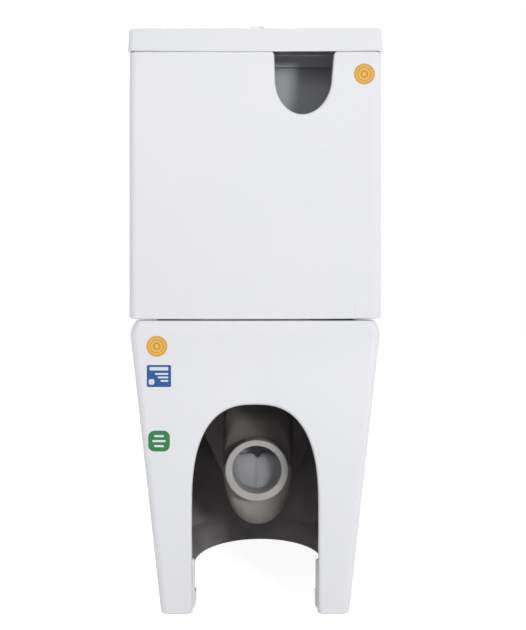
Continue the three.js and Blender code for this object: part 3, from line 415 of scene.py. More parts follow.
sweep = flowing(nose_shares, 4)
outer_skirt = [
    skirt_ring(0, 0, foot_radius * (1 - math.sin(turn)), foot_radius * (1 - math.cos(turn)))
    for turn in lip_turns[:3]
]
outer_skirt += [skirt_ring(*row) for row in sweep if row[0] * shoulder_z > foot_radius]
shoulder = []
shoulder_steps = 7
shoulder_bend = 2.6
for i in range(1, shoulder_steps + 1):
    rise = i / shoulder_steps
    turn_in = rise**shoulder_bend
    shoulder.append(dee(
        shoulder_width - (shoulder_width - top_edge_width) * turn_in,
        front_y + top_edge_setback * turn_in,
        front_y + top_nose,
        wall_y - top_edge_setback / 2 * turn_in,
        back_corner,
        shoulder_z + (pan_top - 0.0006 - shoulder_z) * rise,
    ))
for inward, drop in ((0.0015, 0.0001), (0.004, 0)):
    shoulder.append(dee(
        top_edge_width - 2 * inward, front_y + top_edge_setback + inward, front_y + top_nose,
        wall_y - top_edge_setback / 2 - inward, back_corner, pan_top - drop,
    ))

# The rim of the bowl, and then rings down the bowl and through the trap: width, reach to the front,
# reach to the back, place, height, tilt and how square it is
rim_width = 0.284
rim_reach = 0.18
rim_y = -0.105
rim_radius = 0.008
rim_steps = 6


def rim_ring(out, z):
    return hoop(rim_width + 2 * out, rim_reach + out, rim_reach + out, rim_y, z, 0)


rim = []
for i in range(rim_steps + 1):
    turn = math.pi / 2 * i / rim_steps
    z = pan_top - rim_radius * (1 - math.cos(turn))
    rim.append(rim_ring(rim_radius * (1 - math.sin(turn)), z))
rim_support = rim_ring(rim_radius + 0.003, pan_top)
bowl_rows = [
    (0.2880, 0.1820, 0.1820, -0.105, 0.4080, 0, 1),
    (0.2897, 0.1830, 0.1830, -0.105, 0.4006, 0, 1),
    (0.2812, 0.1800, 0.1740, -0.100, 0.3582, 0, 1),
    (0.2400, 0.1550, 0.1470, -0.085, 0.2994, 0, 1),
    (0.1860, 0.1120, 0.1060, -0.060, 0.2472, 0, 1),
    (0.1390, 0.0720, 0.0680, -0.036, 0.2015, 0, 1),
    (0.1080, 0.0500, 0.0480, -0.026, 0.1650, 8, 1),
    (0.0880, 0.0420, 0.0400, -0.014, 0.1380, 40, 1),
    (0.0700, 0.0350, 0.0350, 0.006, 0.1270, 72, 1),
    (0.0620, 0.0310, 0.0310, 0.030, 0.1260, 92, 1),
    (0.0630, 0.0310, 0.0310, 0.054, 0.1330, 118, 1),
    (0.0660, 0.0330, 0.0330, 0.072, 0.1550, 146, 1),
    (0.0660, 0.0330, 0.0330, 0.092, 0.1960, 153, 1),
    (0.0690, 0.0320, 0.0280, 0.103, 0.2160, 138, 0.9),
    (0.0715, 0.0310, 0.0250, 0.115, 0.2290, 104, 0.8),
    (0.0715, 0.0260, 0.0230, 0.126, 0.2250, 84, 0.8),
    (0.0720, 0.0240, 0.0220, 0.1340, 0.2150, 74, 0.8),
    (0.0730, 0.0270, 0.0260, 0.1420, 0.2010, 72, 0.85),
    (0.0748, 0.0362, 0.0356, 0.1510, 0.1876, 84, 0.97),
]
outlet_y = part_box("pan_trapway")[1].y
outlet_z = 0.185
outlet_width = 0.0985
outlet_reach = 0.0474
bore_width = 0.0757
bore_reach = 0.0366
bore_z = 0.1864
seam_height = 0.0025
seam_width = 0.0030
crest_y = 0.1245
crest_z = 0.2030
crest_reach = 0.0085
crest_half = 0.036
crest_notch = 0.0075
crest_notch_width = 0.0055
crest_bow = 0.004
cast_from, cast_to = 0.106, 0.152
seam_fade = 0.02


def hump(distance, reach):
    return math.exp(-((distance / reach) ** 2))


def cast_seam(ring, row):
    """The weir's crest with its two lobes, and the mould's seam below the notch between them."""
    y, z = row[3], row[4]
    if not cast_from < y < cast_to:
        return ring
    for point in ring:
        if point.z >= z - 0.004:
            continue
        across = abs(point.x) / crest_half
        near = hump(point.y - crest_y, crest_reach) * max(0, 1 - across**6)
        notch = crest_notch * hump(point.x, crest_notch_width)
        point.z += near * (crest_z - notch - crest_bow * across**2 - point.z)
        if point.y > crest_y:
            low = min(1, (z - point.z) / seam_fade)
            point.y += low * seam_height * hump(point.x, seam_width)
    return ring


waterway = [cast_seam(hoop(*row), row) for row in flowing(bowl_rows, 5)]

lip = 0.0022
spigot = [hoop(bore_width, bore_reach, bore_reach, y, bore_z, 90) for y in (0.1640, 0.1760)]
for width, reach, z, roll, turns in (
    (bore_width, bore_reach, bore_z, lip, lip_turns),
    (outlet_width, outlet_reach, outlet_z, -lip, lip_turns[::-1]),
):
    for turn in turns:
        out = roll * (1 - math.cos(turn))
        y = outlet_y - lip * (1 - math.sin(turn))
        spigot.append(hoop(width + 2 * out, reach + out, reach + out, y, z, 90))

# Rings over the outside of the trap and the bowl, which open like a fan under the deck: width,
# foremost place and height, rearmost place and height, where the ring is widest, and how square it
# is in front and at the back
trap_rows = [
    (0.0985, 0.1800, 0.1376, 0.1800, 0.2324, 0.50, 1.00, 1.00),
    (0.0985, 0.1560, 0.1376, 0.1560, 0.2324, 0.50, 1.00, 1.00),
    (0.1000, 0.1500, 0.1360, 0.1500, 0.2345, 0.50, 1.00, 1.00),
    (0.1050, 0.1470, 0.1260, 0.1465, 0.2440, 0.50, 0.94, 0.95),
    (0.1080, 0.1430, 0.1140, 0.1420, 0.2640, 0.48, 0.88, 0.85),
    (0.1090, 0.1350, 0.1020, 0.1300, 0.2830, 0.46, 0.86, 0.70),
    (0.1095, 0.1230, 0.0925, 0.1170, 0.3150, 0.42, 0.86, 0.55),
    (0.1100, 0.1060, 0.0860, 0.1050, 0.3440, 0.40, 0.86, 0.50),
    (0.1100, 0.0850, 0.0820, 0.0920, 0.3430, 0.41, 0.86, 0.52),
    (0.1100, 0.0560, 0.0795, 0.0840, 0.3410, 0.42, 0.90, 0.56),
    (0.1140, 0.0200, 0.0780, 0.0810, 0.3380, 0.44, 0.95, 0.62),
    (0.1260, -0.0250, 0.0820, 0.0800, 0.3380, 0.42, 1.00, 0.70),
    (0.1560, -0.0660, 0.1060, 0.0800, 0.3390, 0.40, 1.00, 0.80),
    (0.1980, -0.0990, 0.1570, 0.0810, 0.3420, 0.40, 1.00, 0.90),
    (0.2340, -0.1400, 0.2060, 0.0820, 0.3450, 0.43, 1.00, 1.00),
    (0.2680, -0.1860, 0.2450, 0.0835, 0.3500, 0.48, 1.00, 1.00),
    (0.2940, -0.2540, 0.2980, 0.0855, 0.3600, 0.52, 1.00, 1.00),
    (0.3092, -0.2930, 0.3582, 0.0885, 0.3760, 0.50, 1.00, 1.00),
    (0.3140, -0.3000, 0.3950, 0.0920, 0.3960, 0.50, 1.00, 1.00),
    (0.3180, -0.3005, 0.4050, 0.0960, 0.4060, 0.50, 1.00, 1.00),
    (0.3260, -0.3025, 0.4095, 0.1010, 0.4095, 0.50, 1.00, 1.00),
]


def fan(width, fore_y, fore_z, aft_y, aft_z, share, fore_square, aft_square):
    fore, aft = Vector((0, fore_y, fore_z)), Vector((0, aft_y, aft_z))
    middle = fore.lerp(aft, share)
    ring = []
    for i, turn in enumerate(oval_turns):
        bend, reach = (fore_square, fore - middle) if i < nose_steps else (aft_square, aft - middle)
        across = Vector((width / 2 * bent(math.cos(turn), bend), 0, 0))
        ring.append(middle + reach * abs(math.sin(turn)) ** bend + across)
    return ring


fan_steps = 5
# The height above which the web's clay is painted dark as shade.
web_shade_line = 0.205
web_half = 0.055
underside = [fan(*row) for row in flowing(trap_rows, fan_steps)]
trap_rings = 10 * fan_steps

# The wall inside the skirt, with a thicker band round the foot
foot_band = [
    (0.042, 0.06), (0.037, 0.34), (0.033, 0.58), (0.022, 0.80), (0.006, 1.0), (0.0018, 0.95),
    (0.0, 0.8),
]
band_width = 0.2155
band_front = -0.171
band_middle = 0.020
band_start = 0.058
inner_skirt = [
    skirt_ring(1, 1, china_wall + 0.012, deck_underside),
    skirt_ring(1, 1, china_wall, deck_underside - 0.010),
]
inner_skirt += [
    skirt_ring(*row, china_wall) for row in reversed(sweep) if row[0] * shoulder_z > band_start
]
for height, share in foot_band:
    plain = skirt_ring(height / shoulder_z, 0.004, china_wall, height)
    thick = dee(band_width, band_front, band_middle, wall_y - china_wall, back_corner, height)
    inner_skirt.append([a.lerp(b, share) for a, b in zip(plain, thick)])

pan_rings = [
    *outer_skirt, *shoulder, rim_support, *rim, *waterway, *spigot, *underside, *inner_skirt,
]
glazed, shaded_outlet, lit_spigot_clay, clay, dark_clay, shaded_web = range(6)
# The last rings of the waterway, inside the outlet, take the grey glaze as painted shade. The
# spigot's rings take the paler clay as painted light.
outlet_rings = 30
stretches = [
    (glazed, len(outer_skirt) + len(shoulder) + 1 + len(rim) + len(waterway) - outlet_rings),
    (shaded_outlet, outlet_rings),
    (lit_spigot_clay, len(spigot) + fan_steps),
    (clay, trap_rings - fan_steps),
    (dark_clay, len(underside) - trap_rings + len(inner_skirt)),
]
marks = [mark for mark, count in stretches for _ in range(count)]
pan_bm = skin(pan_rings, joined=True, marks=marks)
# Bare clay faces above a line that dips towards the sides take the dark clay: painted shade on the
# upper web.
for face in pan_bm.faces:
    middle = face.calc_center_median()
    if face.material_index == clay and middle.z > web_shade_line - 0.02 * (middle.x / web_half) ** 2:
        face.material_index = shaded_web
pan = made(
    pan_bm, "pan", glazed_china, outlet_glaze, ring_clay, bare_clay, skirt_clay, web_clay,
)

arch_half = 0.0911
arch_top = 0.302
arch_rise = 0.150
arch_square = 2 / 2.62
arch_steps = 40
arch_radius = 0.0045
arch_foot = 0.008


def arch_ring(out, y):
    """The outline of the opening, a straight-sided arch that starts under the floor."""
    half, rise, spring = arch_half + out, arch_rise + out, arch_top - arch_rise
    foot = [(half + arch_foot, -0.01)]
    for angle in (90, 60, 30, 0):
        turn = math.radians(angle)
        foot.append((half + arch_foot * (1 - math.cos(turn)), arch_foot * (1 - math.sin(turn))))
    foot.append((half, spring / 2))
    ring = [Vector((x, y, z)) for x, z in foot]
    for i in range(arch_steps + 1):
        turn = math.pi * i / arch_steps
        across = bent(math.cos(turn), arch_square)
        ring.append(Vector((half * across, y, spring + rise * math.sin(turn) ** arch_square)))
    return ring + [Vector((-x, y, z)) for x, z in reversed(foot)]


def rolled(outline, outer_y, thickness, radius, beyond=0.003):
    """A closed cutter through a wall that leaves rolled edges on both faces."""
    turns = [math.radians(angle) for angle in (72, 54, 36, 18, 0)]
    inner_y = outer_y - thickness
    depths = [radius * (1 - math.sin(turn)) for turn in turns]
    outs = [radius * (1 - math.cos(turn)) for turn in turns]
    over = outs[0] + beyond * math.tan(turns[0])
    rings = [outline(over, outer_y - depths[0] + beyond)]
    rings += [outline(out, outer_y - depth) for out, depth in zip(outs, depths)]
    rings += [outline(out, inner_y + depth) for out, depth in zip(outs[::-1], depths[::-1])]
    rings.append(outline(over, inner_y + depths[0] - beyond))
    return made(skin(rings), "opening")


def oblong(half_x, low_y, high_y, corner, z, inward=0.0):
    """A level ring with straight sides and rounded corners."""
    radius = max(corner - inward, 0.001)
    x, low, high = half_x - inward - radius, low_y + inward + radius, high_y - inward - radius
    ring = []
    for quarter, (across, along) in enumerate(((x, high), (-x, high), (-x, low), (x, low))):
        for i in range(9):
            turn = math.pi / 2 * (quarter + i / 8)
            place = Vector((across + radius * math.cos(turn), along + radius * math.sin(turn), z))
            ring.append(place)
    spaced = []
    for i, point in enumerate(ring):
        spaced.append(point)
        if i % 9 == 8:
            spaced += [point.lerp(ring[(i + 1) % 36], step / 8) for step in range(1, 8)]
    return spaced


def brick(name, low, high, edge, *materials):
    """A block with rounded edges."""
    low, high = Vector(low), Vector(high)
    bm = bmesh.new()
    bmesh.ops.create_cube(bm, size=1)
    bmesh.ops.scale(bm, vec=high - low, verts=bm.verts)
    bmesh.ops.translate(bm, vec=(low + high) / 2, verts=bm.verts)
    bmesh.ops.bevel(
        bm, geom=bm.edges[:], offset=edge, segments=3, profile=0.5, affect="EDGES", material=-1,
    )
    return made(bm, name, *materials)
cut(pan, rolled(arch_ring, wall_y, china_wall, arch_radius))
bolt_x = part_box("tank_bolt_right")[1].x - 0.009
tank_y = sum(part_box("coupling_gasket")[i].y for i in (0, 1)) / 2
hinge_x = 0.0775
hinge_y = 0.1
fill_x = -0.138
well_radius = 0.052
bolt_hole, hinge_hole, hose_hole = 0.006, 0.007, 0.02
for radius, x, y in (
    (well_radius, 0, tank_y), (bolt_hole, bolt_x, tank_y), (bolt_hole, -bolt_x, tank_y),
    (hinge_hole, hinge_x, hinge_y), (hinge_hole, -hinge_x, hinge_y), (hose_hole, fill_x, tank_y),
):
    cut(pan, peg(radius, deck_underside - 0.01, pan_top + 0.005, x, y))
slot_half, slot_low, slot_high = 0.042, 0.3715, 0.3855
cut(pan, brick("slot", (-slot_half, 0.05, slot_low), (slot_half, 0.11, slot_high), 0.005))
screw_radius, screw_y, screw_z = 0.004, 0.293, 0.016
for side in (-1, 1):
    fixing = peg(screw_radius, 0.1, 0.2, 0, 0, 24)
    turn = Matrix.Rotation(math.radians(90 * side), 4, "Y")
    fixing.data.transform(Matrix.Translation((0, screw_y, screw_z)) @ turn)
    cut(pan, fixing)
placed(
    even_shading(pan), "toilet", "glazed_china", "pan_skirt", "pan_deck", "pan_bowl", "pan_trapway",
)

# The water chamber under the deck and the feet behind the arch's sides, cast in one with the pan.
# The chamber takes the flush from the inlet well to the slot in the bowl. The feet take the screws
# that hold the pan to the floor.
chamber_half, chamber_front, chamber_back, chamber_foot = 0.057, 0.0835, 0.3055, 0.338
chamber_corner = 0.02
chamber_round = 0.008
chamber_rings = [
    oblong(
        chamber_half, chamber_front, chamber_back, chamber_corner,
        chamber_foot + chamber_round * (1 - math.cos(turn)), chamber_round * (1 - math.sin(turn)),
    ) for turn in lip_turns
]
chamber_rings.append(oblong(
    chamber_half + 0.001, chamber_front, chamber_back, chamber_corner, deck_underside + 0.001,
))
chamber = made(skin(chamber_rings), "water_chamber", skirt_clay)
cut(
    chamber,
    brick("space", (-0.045, 0.087, 0.350), (0.045, 0.2855, 0.3895), 0.006, glazed_china),
    brick("slot", (-slot_half, 0.05, slot_low), (slot_half, 0.095, slot_high), 0.004, glazed_china),
    peg(0.032, 0.38, 0.405, 0, tank_y),
    peg(well_radius, 0.3995, 0.43, 0, tank_y, 64),
)
placed(even_shading(chamber), "toilet", "glazed_china", "pan_water_chamber")

gap = 0.0003
foot_x, foot_half = 0.1085, 0.0185
foot_depth = 0.052
foot_height = 0.072
strip_x, strip_half = 0.0965, 0.0090
strip_height = 0.078
toe_half = 0.0098
toe_height = 0.029
wall_inside = wall_y - china_wall
sides = (("left", -1), ("right", 1))
for name, side in sides:
    foot = brick(
        f"fixing_foot_{name}", (side * foot_x - foot_half, wall_inside - foot_depth, gap),
        (side * foot_x + foot_half, wall_y - 0.003, foot_height), 0.003, glazed_china,
    )
    for vert in foot.data.vertices:
        inner = (wall_y - vert.co.y) / foot_depth
        if vert.co.z > foot_height / 2:
            vert.co.z -= 0.02 * inner
            vert.co.x += side * 0.002 * inner
    strip = brick(
        "strip", (side * strip_x - strip_half, wall_inside - 0.006, 0.006),
        (side * strip_x + strip_half, wall_y - 0.0105, strip_height), 0.0036, glazed_china,
    )
    toe = brick(
        "toe", (side * strip_x - toe_half, wall_inside - 0.034, 0.0065),
        (side * strip_x + toe_half, wall_inside - 0.002, toe_height), 0.004, glazed_china,
    )
    cut(foot, strip, toe, way="UNION")
    placed(even_shading(foot), "toilet", "glazed_china")

# The cistern tank. A deep slip-cast box of china with a wall of about 10 mm, glazed inside and out,
# with rounded edges and a notch for a supply pipe in the top of its back wall. Two soft creases
# show how the cast wall sank.
# The white glaze painted grey inside the tank: painted shade where the inside is seen through the
# notch.
inner_glaze = finish(
    "inner_glaze", glaze_group, (196, 197, 201), (186, 187, 192), (0.3, 0.45, 0.05), 0.12, 0.004,
)
tank_low, tank_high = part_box("cistern_tank")
tank_half = tank_high.x
tank_foot, tank_top = tank_low.z, tank_high.z
tank_floor = tank_foot + 0.012
tank_wall = 0.010
tank_sag = 0.0025
tank_corner = 0.011
quarter_turn = [math.radians(angle) for angle in (0, 18, 36, 54, 72, 90)]


def edge(ring, z, inward, rise, run, upright=False):
    """Rings round an edge, from level to upright, or from upright to level."""
    rings = []
    for t in quarter_turn:
        up, along = 1 - math.cos(t), 1 - math.sin(t)
        if upright:
            up, along = along, up
        rings.append(ring(z + rise * up, inward + run * along))
    return rings


def tank_ring(z, inward=0.0):
    return oblong(tank_half, tank_low.y, tank_high.y, tank_corner, z, inward)


foot_round, rim_outer, rim_inner, floor_round = 0.0025, 0.003, 0.0035, 0.010
foot_rings = edge(tank_ring, tank_foot, 0, foot_round, foot_round)
for t, ring in zip(quarter_turn, foot_rings):
    for point in ring:
        across = point.x / tank_half
        behind = max(0, (point.y - tank_high.y + tank_corner) / tank_corner)
        point.z -= tank_sag * behind * (1 - 0.45 * across**2 + 0.2 * across) * (1 - t / math.pi)
tank_rings = [
    tank_ring(tank_foot, 0.0065), *foot_rings,
    *edge(tank_ring, tank_top, 0, -rim_outer, rim_outer, upright=True),
    *edge(tank_ring, tank_top, tank_wall, -rim_inner, -rim_inner),
    *edge(tank_ring, tank_floor, tank_wall, floor_round, floor_round, upright=True),
]
# Rings from here on are the inside of the tank and take the grey glaze as painted shade.
inner_from = 1 + 2 * len(quarter_turn)
tank_marks = [int(i >= inner_from) for i in range(len(tank_rings))]
tank = made(skin(tank_rings, marks=tank_marks), "tank", glazed_china, inner_glaze)

notch_x = -0.0683
notch_lean = 0.0024
notch_top_half = 0.0428
notch_half = 0.0408
notch_depth = 0.0904
notch_low = tank_top - notch_depth
notch_rise = 0.052
notch_flare = 0.006
notch_steps = 24


def notch_ring(out, y):
    """The outline of the notch, open at the top where its corners flare."""
    spring = notch_low + notch_rise
    top_half = notch_top_half + out
    side = [(top_half + notch_flare, tank_top + 0.012)]
    for angle in (90, 60, 30, 0):
        turn = math.radians(angle)
        side.append((
            top_half + notch_flare * (1 - math.cos(turn)),
            tank_top - notch_flare * (1 - math.sin(turn)),
        ))
    for i in range(notch_steps + 1):
        turn = math.pi / 2 * i / notch_steps
        side.append((
            (notch_half + out) * math.cos(turn), spring - (notch_rise + out) * math.sin(turn),
        ))
    ring = side + [(-x, z) for x, z in reversed(side[:-1])]
    return [Vector((notch_x + x - notch_lean * (z - notch_low) / 0.09, y, z)) for x, z in ring]


cut(tank, rolled(notch_ring, tank_high.y, tank_wall, 0.004))
valve_hole, fill_hole = 0.032, 0.009
for radius, x in ((valve_hole, 0), (bolt_hole, bolt_x), (bolt_hole, -bolt_x), (fill_hole, fill_x)):
    cut(tank, peg(radius, tank_foot - 0.01, tank_floor + 0.01, x, tank_y))
crease_radius = 0.009
crease_depth = 0.0005
crease_lean = 0.0006
for x_top, x_foot in ((0.1355, 0.1400), (-0.1383, -0.1428)):
    top, foot = Vector((x_top, 0, 0.524)), Vector((x_foot, 0, 0.431))
    crease = peg(crease_radius, 0, (top - foot).length, 0, 0, 96)
    course = top + Vector((0, crease_lean, 0)) - foot
    lean = course.to_track_quat("Z", "Y").to_matrix().to_4x4()
    clear = Vector((0, tank_high.y + crease_radius - crease_depth, 0))
    crease.data.transform(Matrix.Translation(foot + clear) @ lean)
    cut(tank, crease)
placed(even_shading(tank), "toilet", "glazed_china", "cistern_tank")

# The cistern lid. A shallow tray of china turned over, glazed, with a low crown, a hole for the
# push button and four lugs inside that keep it on the tank's rim. It lies loose on the rim and sags
# a little along its edges.
lid_low, lid_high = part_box("cistern_lid")
lid_half = lid_high.x
lid_foot = tank_top + gap
lid_edge = 0.8457
lid_crown = lid_high.z
lid_plate = 0.835
lid_wall = 0.012
lid_taper = 0.0015
lid_round = 0.0045
lid_sag = 0.0011


def lid_ring(z, inward=0.0, sag=0.0):
    ring = oblong(lid_half, lid_low.y, lid_high.y, tank_corner, z, inward)
    for point in ring:
        point.z -= sag * max(0, 1 - (point.x / lid_half) ** 2)
    return ring


def lid_foot_ring(z, inward):
    return lid_ring(z, inward, lid_sag)


lid_rings = [
    *edge(lid_ring, lid_plate, lid_wall, -0.006, 0.006, upright=True)[::-1],
    *edge(lid_ring, lid_foot, lid_wall, 0.0015, -0.0015)[::-1],
    lid_ring(lid_foot, 0.0022), lid_ring(lid_foot - 0.0001, 0.0016, lid_sag * 0.6),
    *edge(lid_foot_ring, lid_foot, 0, 0.0012, 0.0012, upright=True)[::-1],
    *edge(lid_ring, lid_edge, lid_taper, -lid_round, lid_round, upright=True),
]
crown_reach = 0.07
crown_steps = 8
for i in range(1, crown_steps + 1):
    share = i / crown_steps
    rise = (lid_crown - lid_edge) * (1 - (1 - share) ** 2)
    lid_rings.append(lid_ring(lid_edge + rise, lid_taper + lid_round + crown_reach * share))
lid = made(skin(lid_rings), "lid", glazed_china)
lug_x, lug_y = 0.164, 0.035
for side in (-1, 1):
    for end in (-1, 1):
        x, y = side * lug_x, tank_y + end * lug_y
        low, high = (x - 0.004, y - 0.015, lid_low.z), (x + 0.004, y + 0.015, lid_plate + 0.003)
        cut(lid, brick("lug", low, high, 0.002), way="UNION")
button_hole = 0.02
cut(lid, peg(button_hole, 0.8, 0.87, 0, tank_y, 64))
placed(even_shading(lid), "lid", "glazed_china", "cistern_lid")

# The seat ring. Moulded thermoset, glossy white, thick and heavy, rounded over on top and rolled
# into the hole. Two lugs at its back turn on the hinge pins.
seat_low, seat_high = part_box("seat_ring")
seat_foot, seat_top = 0.4309, 0.4479
seat_width = seat_high.x - seat_low.x
seat_front, seat_middle, seat_back = seat_low.y, seat_low.y + 0.222, 0.080
seat_corner = 0.046
hole_width, hole_front, hole_back, hole_middle = 0.216, -0.233, 0.039, -0.1188
hinge_z = 0.446

plastic_group, plastic_in, plastic_out = surface_group("moulded_plastic", {
    "Color": (0.8, 0.8, 0.8, 1), "Flow Color": (0.78, 0.78, 0.78, 1),
    "Smooth": 0.2, "Dull": 0.3, "Texture": 0.3,
})
flow = ramp(plastic_group, grain(plastic_group, 16, 3, (1, 1, 0.3)), 0.3, 0.7)
given(
    plastic_group, plastic_out,
    blended(plastic_group, flow, plastic_in.outputs["Color"], plastic_in.outputs["Flow Color"]),
    ramp(plastic_group, grain(plastic_group, 35, 5), 0.3, 0.75,
         plastic_in.outputs["Smooth"], plastic_in.outputs["Dull"]),
    summed(plastic_group, grain(plastic_group, 22, 2), grain(plastic_group, 900, 1),
           plastic_in.outputs["Texture"]),
)
seat_plastic = finish(
    "seat_plastic", plastic_group, (236, 236, 237), (233, 233, 235), (0.16, 0.26, 0.04),
    0.1, 0.0015, Coat_Weight=0.2, Coat_Roughness=0.1,
)


def seat_ring(z, inward=0.0):
    return dee(
        seat_width - 2 * inward, seat_front + inward, seat_middle, seat_back - inward,
        seat_corner - inward / 2, z,
    )


def hole_ring(z, out=0.0):
    return hoop(
        hole_width + 2 * out, hole_middle - hole_front + out, hole_back - hole_middle + out,
        hole_middle, z, 0,
    )


def slab(name, outline, depth, rim, steps, material):
    """A flat outline drawn sideways to a slab with rounded rims."""
    bm = skin([outline, [point + Vector(depth) for point in outline]])
    rims = [line for line in bm.edges if any(len(face.verts) > 8 for face in line.link_faces)]
    bmesh.ops.bevel(
        bm, geom=rims, offset=rim, segments=steps, profile=0.5, affect="EDGES", material=-1,
    )
    return made(bm, name, material)


def lying(piece, x, y, z):
    """Lays an upright piece along X and moves it to its place."""
    piece.data.transform(Matrix.Translation((x, y, z)) @ Matrix.Rotation(math.pi / 2, 4, "Y"))
    return piece


def hinge_lug(radius, x, reach, low, high):
    """A round lug on the hinge axis with a tongue forward to the piece that it carries."""
    half = 0.008
    steps = 32
    start, stop = (math.asin(max(-1, min(1, (z - hinge_z) / radius))) for z in (low, high))
    outline = [Vector((x - half, hinge_y - reach, z)) for z in (low, high)]
    first = math.pi - stop
    last = math.pi - start - math.tau
    for i in range(steps + 1):
        turn = first + (last - first) * i / steps
        y, z = hinge_y + radius * math.cos(turn), hinge_z + radius * math.sin(turn)
        outline.append(Vector((x - half, y, z)))
    return slab("lug", outline, (2 * half, 0, 0), 0.001, 2, seat_plastic)


pin_hole = 0.00425
seat_lug_x = 0.06125
seat_roll = 0.0015
ring_round = 0.006
hole_round = 0.0075
seat_crown = 0.0008
seat_outside = [
    *edge(seat_ring, seat_foot, 0, seat_roll, seat_roll),
    *edge(seat_ring, seat_top, 0, -ring_round, ring_round, upright=True),
]
seat_inside = [
    *edge(hole_ring, seat_top, 0, -hole_round, hole_round),
    *edge(hole_ring, seat_foot, 0, seat_roll, seat_roll, upright=True),
]
seat_between = [
    [a.lerp(b, share) + Vector((0, 0, seat_crown * math.sin(math.pi * share)))
     for a, b in zip(seat_outside[-1], seat_inside[0])]
    for share in (0.2, 0.4, 0.6, 0.8)
]
seat_rings = [*seat_outside, *seat_between, *seat_inside]
seat = made(skin(seat_rings, joined=True), "seat", seat_plastic)
for side in (-1, 1):
    cut(seat, hinge_lug(0.010, side * seat_lug_x, 0.024, 0.4349, 0.4439), way="UNION")
    cut(seat, lying(peg(pin_hole, -0.03, 0.03, 0, 0, 32), side * seat_lug_x, hinge_y, hinge_z))
placed(even_shading(seat), "seat", "seat_plastic", "seat_ring")

# The seat cover. A thinner moulded shell of the same plastic, domed, with a skirt that stands over
# the ring when it is down. It leans open against the cistern, on lugs that turn with dampers on the
# hinge pins.
cover_foot, cover_top = 0.4519, 0.4699
cover_plate = 0.005
cover_inside = cover_top - cover_plate
cover_width = seat_width + 0.004
cover_back = 0.085
cover_wall = 0.005
cover_round = 0.011
cover_lug_x = 0.0938
cover_open = math.radians(-94.5)
dome = 0.0012


def cover_ring(z, inward=0.0):
    return dee(
        cover_width - 2 * inward, seat_front + inward, seat_middle, cover_back - inward,
        max(seat_corner - inward / 2, 0.01), z,
    )


cover_rings = [
    *(cover_ring(cover_inside, cover_wall + inward) for inward in (0.06, 0.03, 0.012)),
    *edge(cover_ring, cover_inside, cover_wall, -0.005, 0.006, upright=True)[::-1],
    *edge(cover_ring, cover_foot, 0.0045, 0.002, -0.002)[::-1],
    *edge(cover_ring, cover_foot, 0, 0.0015, 0.0015),
]
for t in quarter_turn:
    z = cover_top - dome - cover_round * (1 - math.sin(t)) ** 1.1
    cover_rings.append(cover_ring(z, cover_round * (1 - math.cos(t))))
for share in (0.15, 0.35, 0.6, 0.85, 1):
    cover_rings.append(cover_ring(cover_top - dome * (1 - share), cover_round + 0.055 * share))
cover = made(skin(cover_rings), "cover", seat_plastic)
for side in (-1, 1):
    cut(cover, hinge_lug(0.011, side * cover_lug_x, 0.020, 0.4519, 0.4640), way="UNION")
    cut(cover, lying(peg(0.00675, -0.03, 0.03, 0, 0, 32), side * cover_lug_x, hinge_y, hinge_z))
hinge_axis = Vector((0, hinge_y, hinge_z))


def opened(piece):
    """Turns a piece of the closed cover up to where the open cover leans."""
    lean = Matrix.Rotation(cover_open, 4, "X")
    piece.data.transform(Matrix.Translation(hinge_axis) @ lean @ Matrix.Translation(-hinge_axis))
    return piece


placed(even_shading(opened(cover)), "cover", "seat_plastic", "seat_cover")

# The hinges. Chrome-plated zinc posts on round feet, held down by steel studs and plastic nuts
# under the deck. One steel pin through each post carries the ring's lug inside and the cover's lug,
# with its damper, outside.
metal_group, metal_in, metal_out = surface_group("plated_metal", {
    "Color": (0.8, 0.8, 0.8, 1), "Worn Color": (0.7, 0.7, 0.7, 1),
    "Smooth": 0.05, "Dull": 0.2, "Scratches": 0.3,
})
tarnish = ramp(metal_group, grain(metal_group, 28, 4), 0.4, 0.75)
given(
    metal_group, metal_out,
    blended(metal_group, tarnish, metal_in.outputs["Color"], metal_in.outputs["Worn Color"]),
    ramp(metal_group, grain(metal_group, 60, 5), 0.35, 0.75,
         metal_in.outputs["Smooth"], metal_in.outputs["Dull"]),
    summed(metal_group, grain(metal_group, 40, 2), grain(metal_group, 260, 3, (1, 1, 12)),
           metal_in.outputs["Scratches"]),
)
chrome = finish(
    "chrome", metal_group, (206, 208, 212), (196, 198, 202), (0.05, 0.14, 0.1), 0.06, 0.0005,
    Metallic=1.0, Specular_Tint=(0.55, 0.56, 0.58, 1),
)
steel = finish(
    "steel", metal_group, (190, 192, 194), (168, 168, 168), (0.24, 0.42, 0.4), 0.15, 0.0006,
    Metallic=1.0,
)
brass = finish(
    "brass", metal_group, (208, 172, 104), (172, 136, 78), (0.22, 0.45, 0.4), 0.15, 0.0006,
    Metallic=1.0,
)
grey_plastic = finish(
    "grey_plastic", plastic_group, (154, 160, 166), (146, 152, 158), (0.4, 0.55, 0.25),
    0.25, 0.0008,
)
white_plastic = finish(
    "white_plastic", plastic_group, (228, 230, 234), (222, 225, 229), (0.34, 0.5, 0.2), 0.2, 0.0008,
)


def softened(profile, size):
    """A turned profile with its corners rounded off."""
    closed = profile[0] == profile[-1]
    corners = [Vector(corner) for corner in (profile[:-1] if closed else profile)]
    soft = []
    for i, here in enumerate(corners):
        if not closed and i in (0, len(corners) - 1):
            soft.append(here)
            continue
        back, ahead = corners[i - 1] - here, corners[(i + 1) % len(corners)] - here
        back *= min(size, back.length * 0.4) / back.length
        ahead *= min(size, ahead.length * 0.4) / ahead.length
        soft += [here + back * (1 - t) ** 2 + ahead * t**2 for t in (0, 0.5, 1)]
    return soft


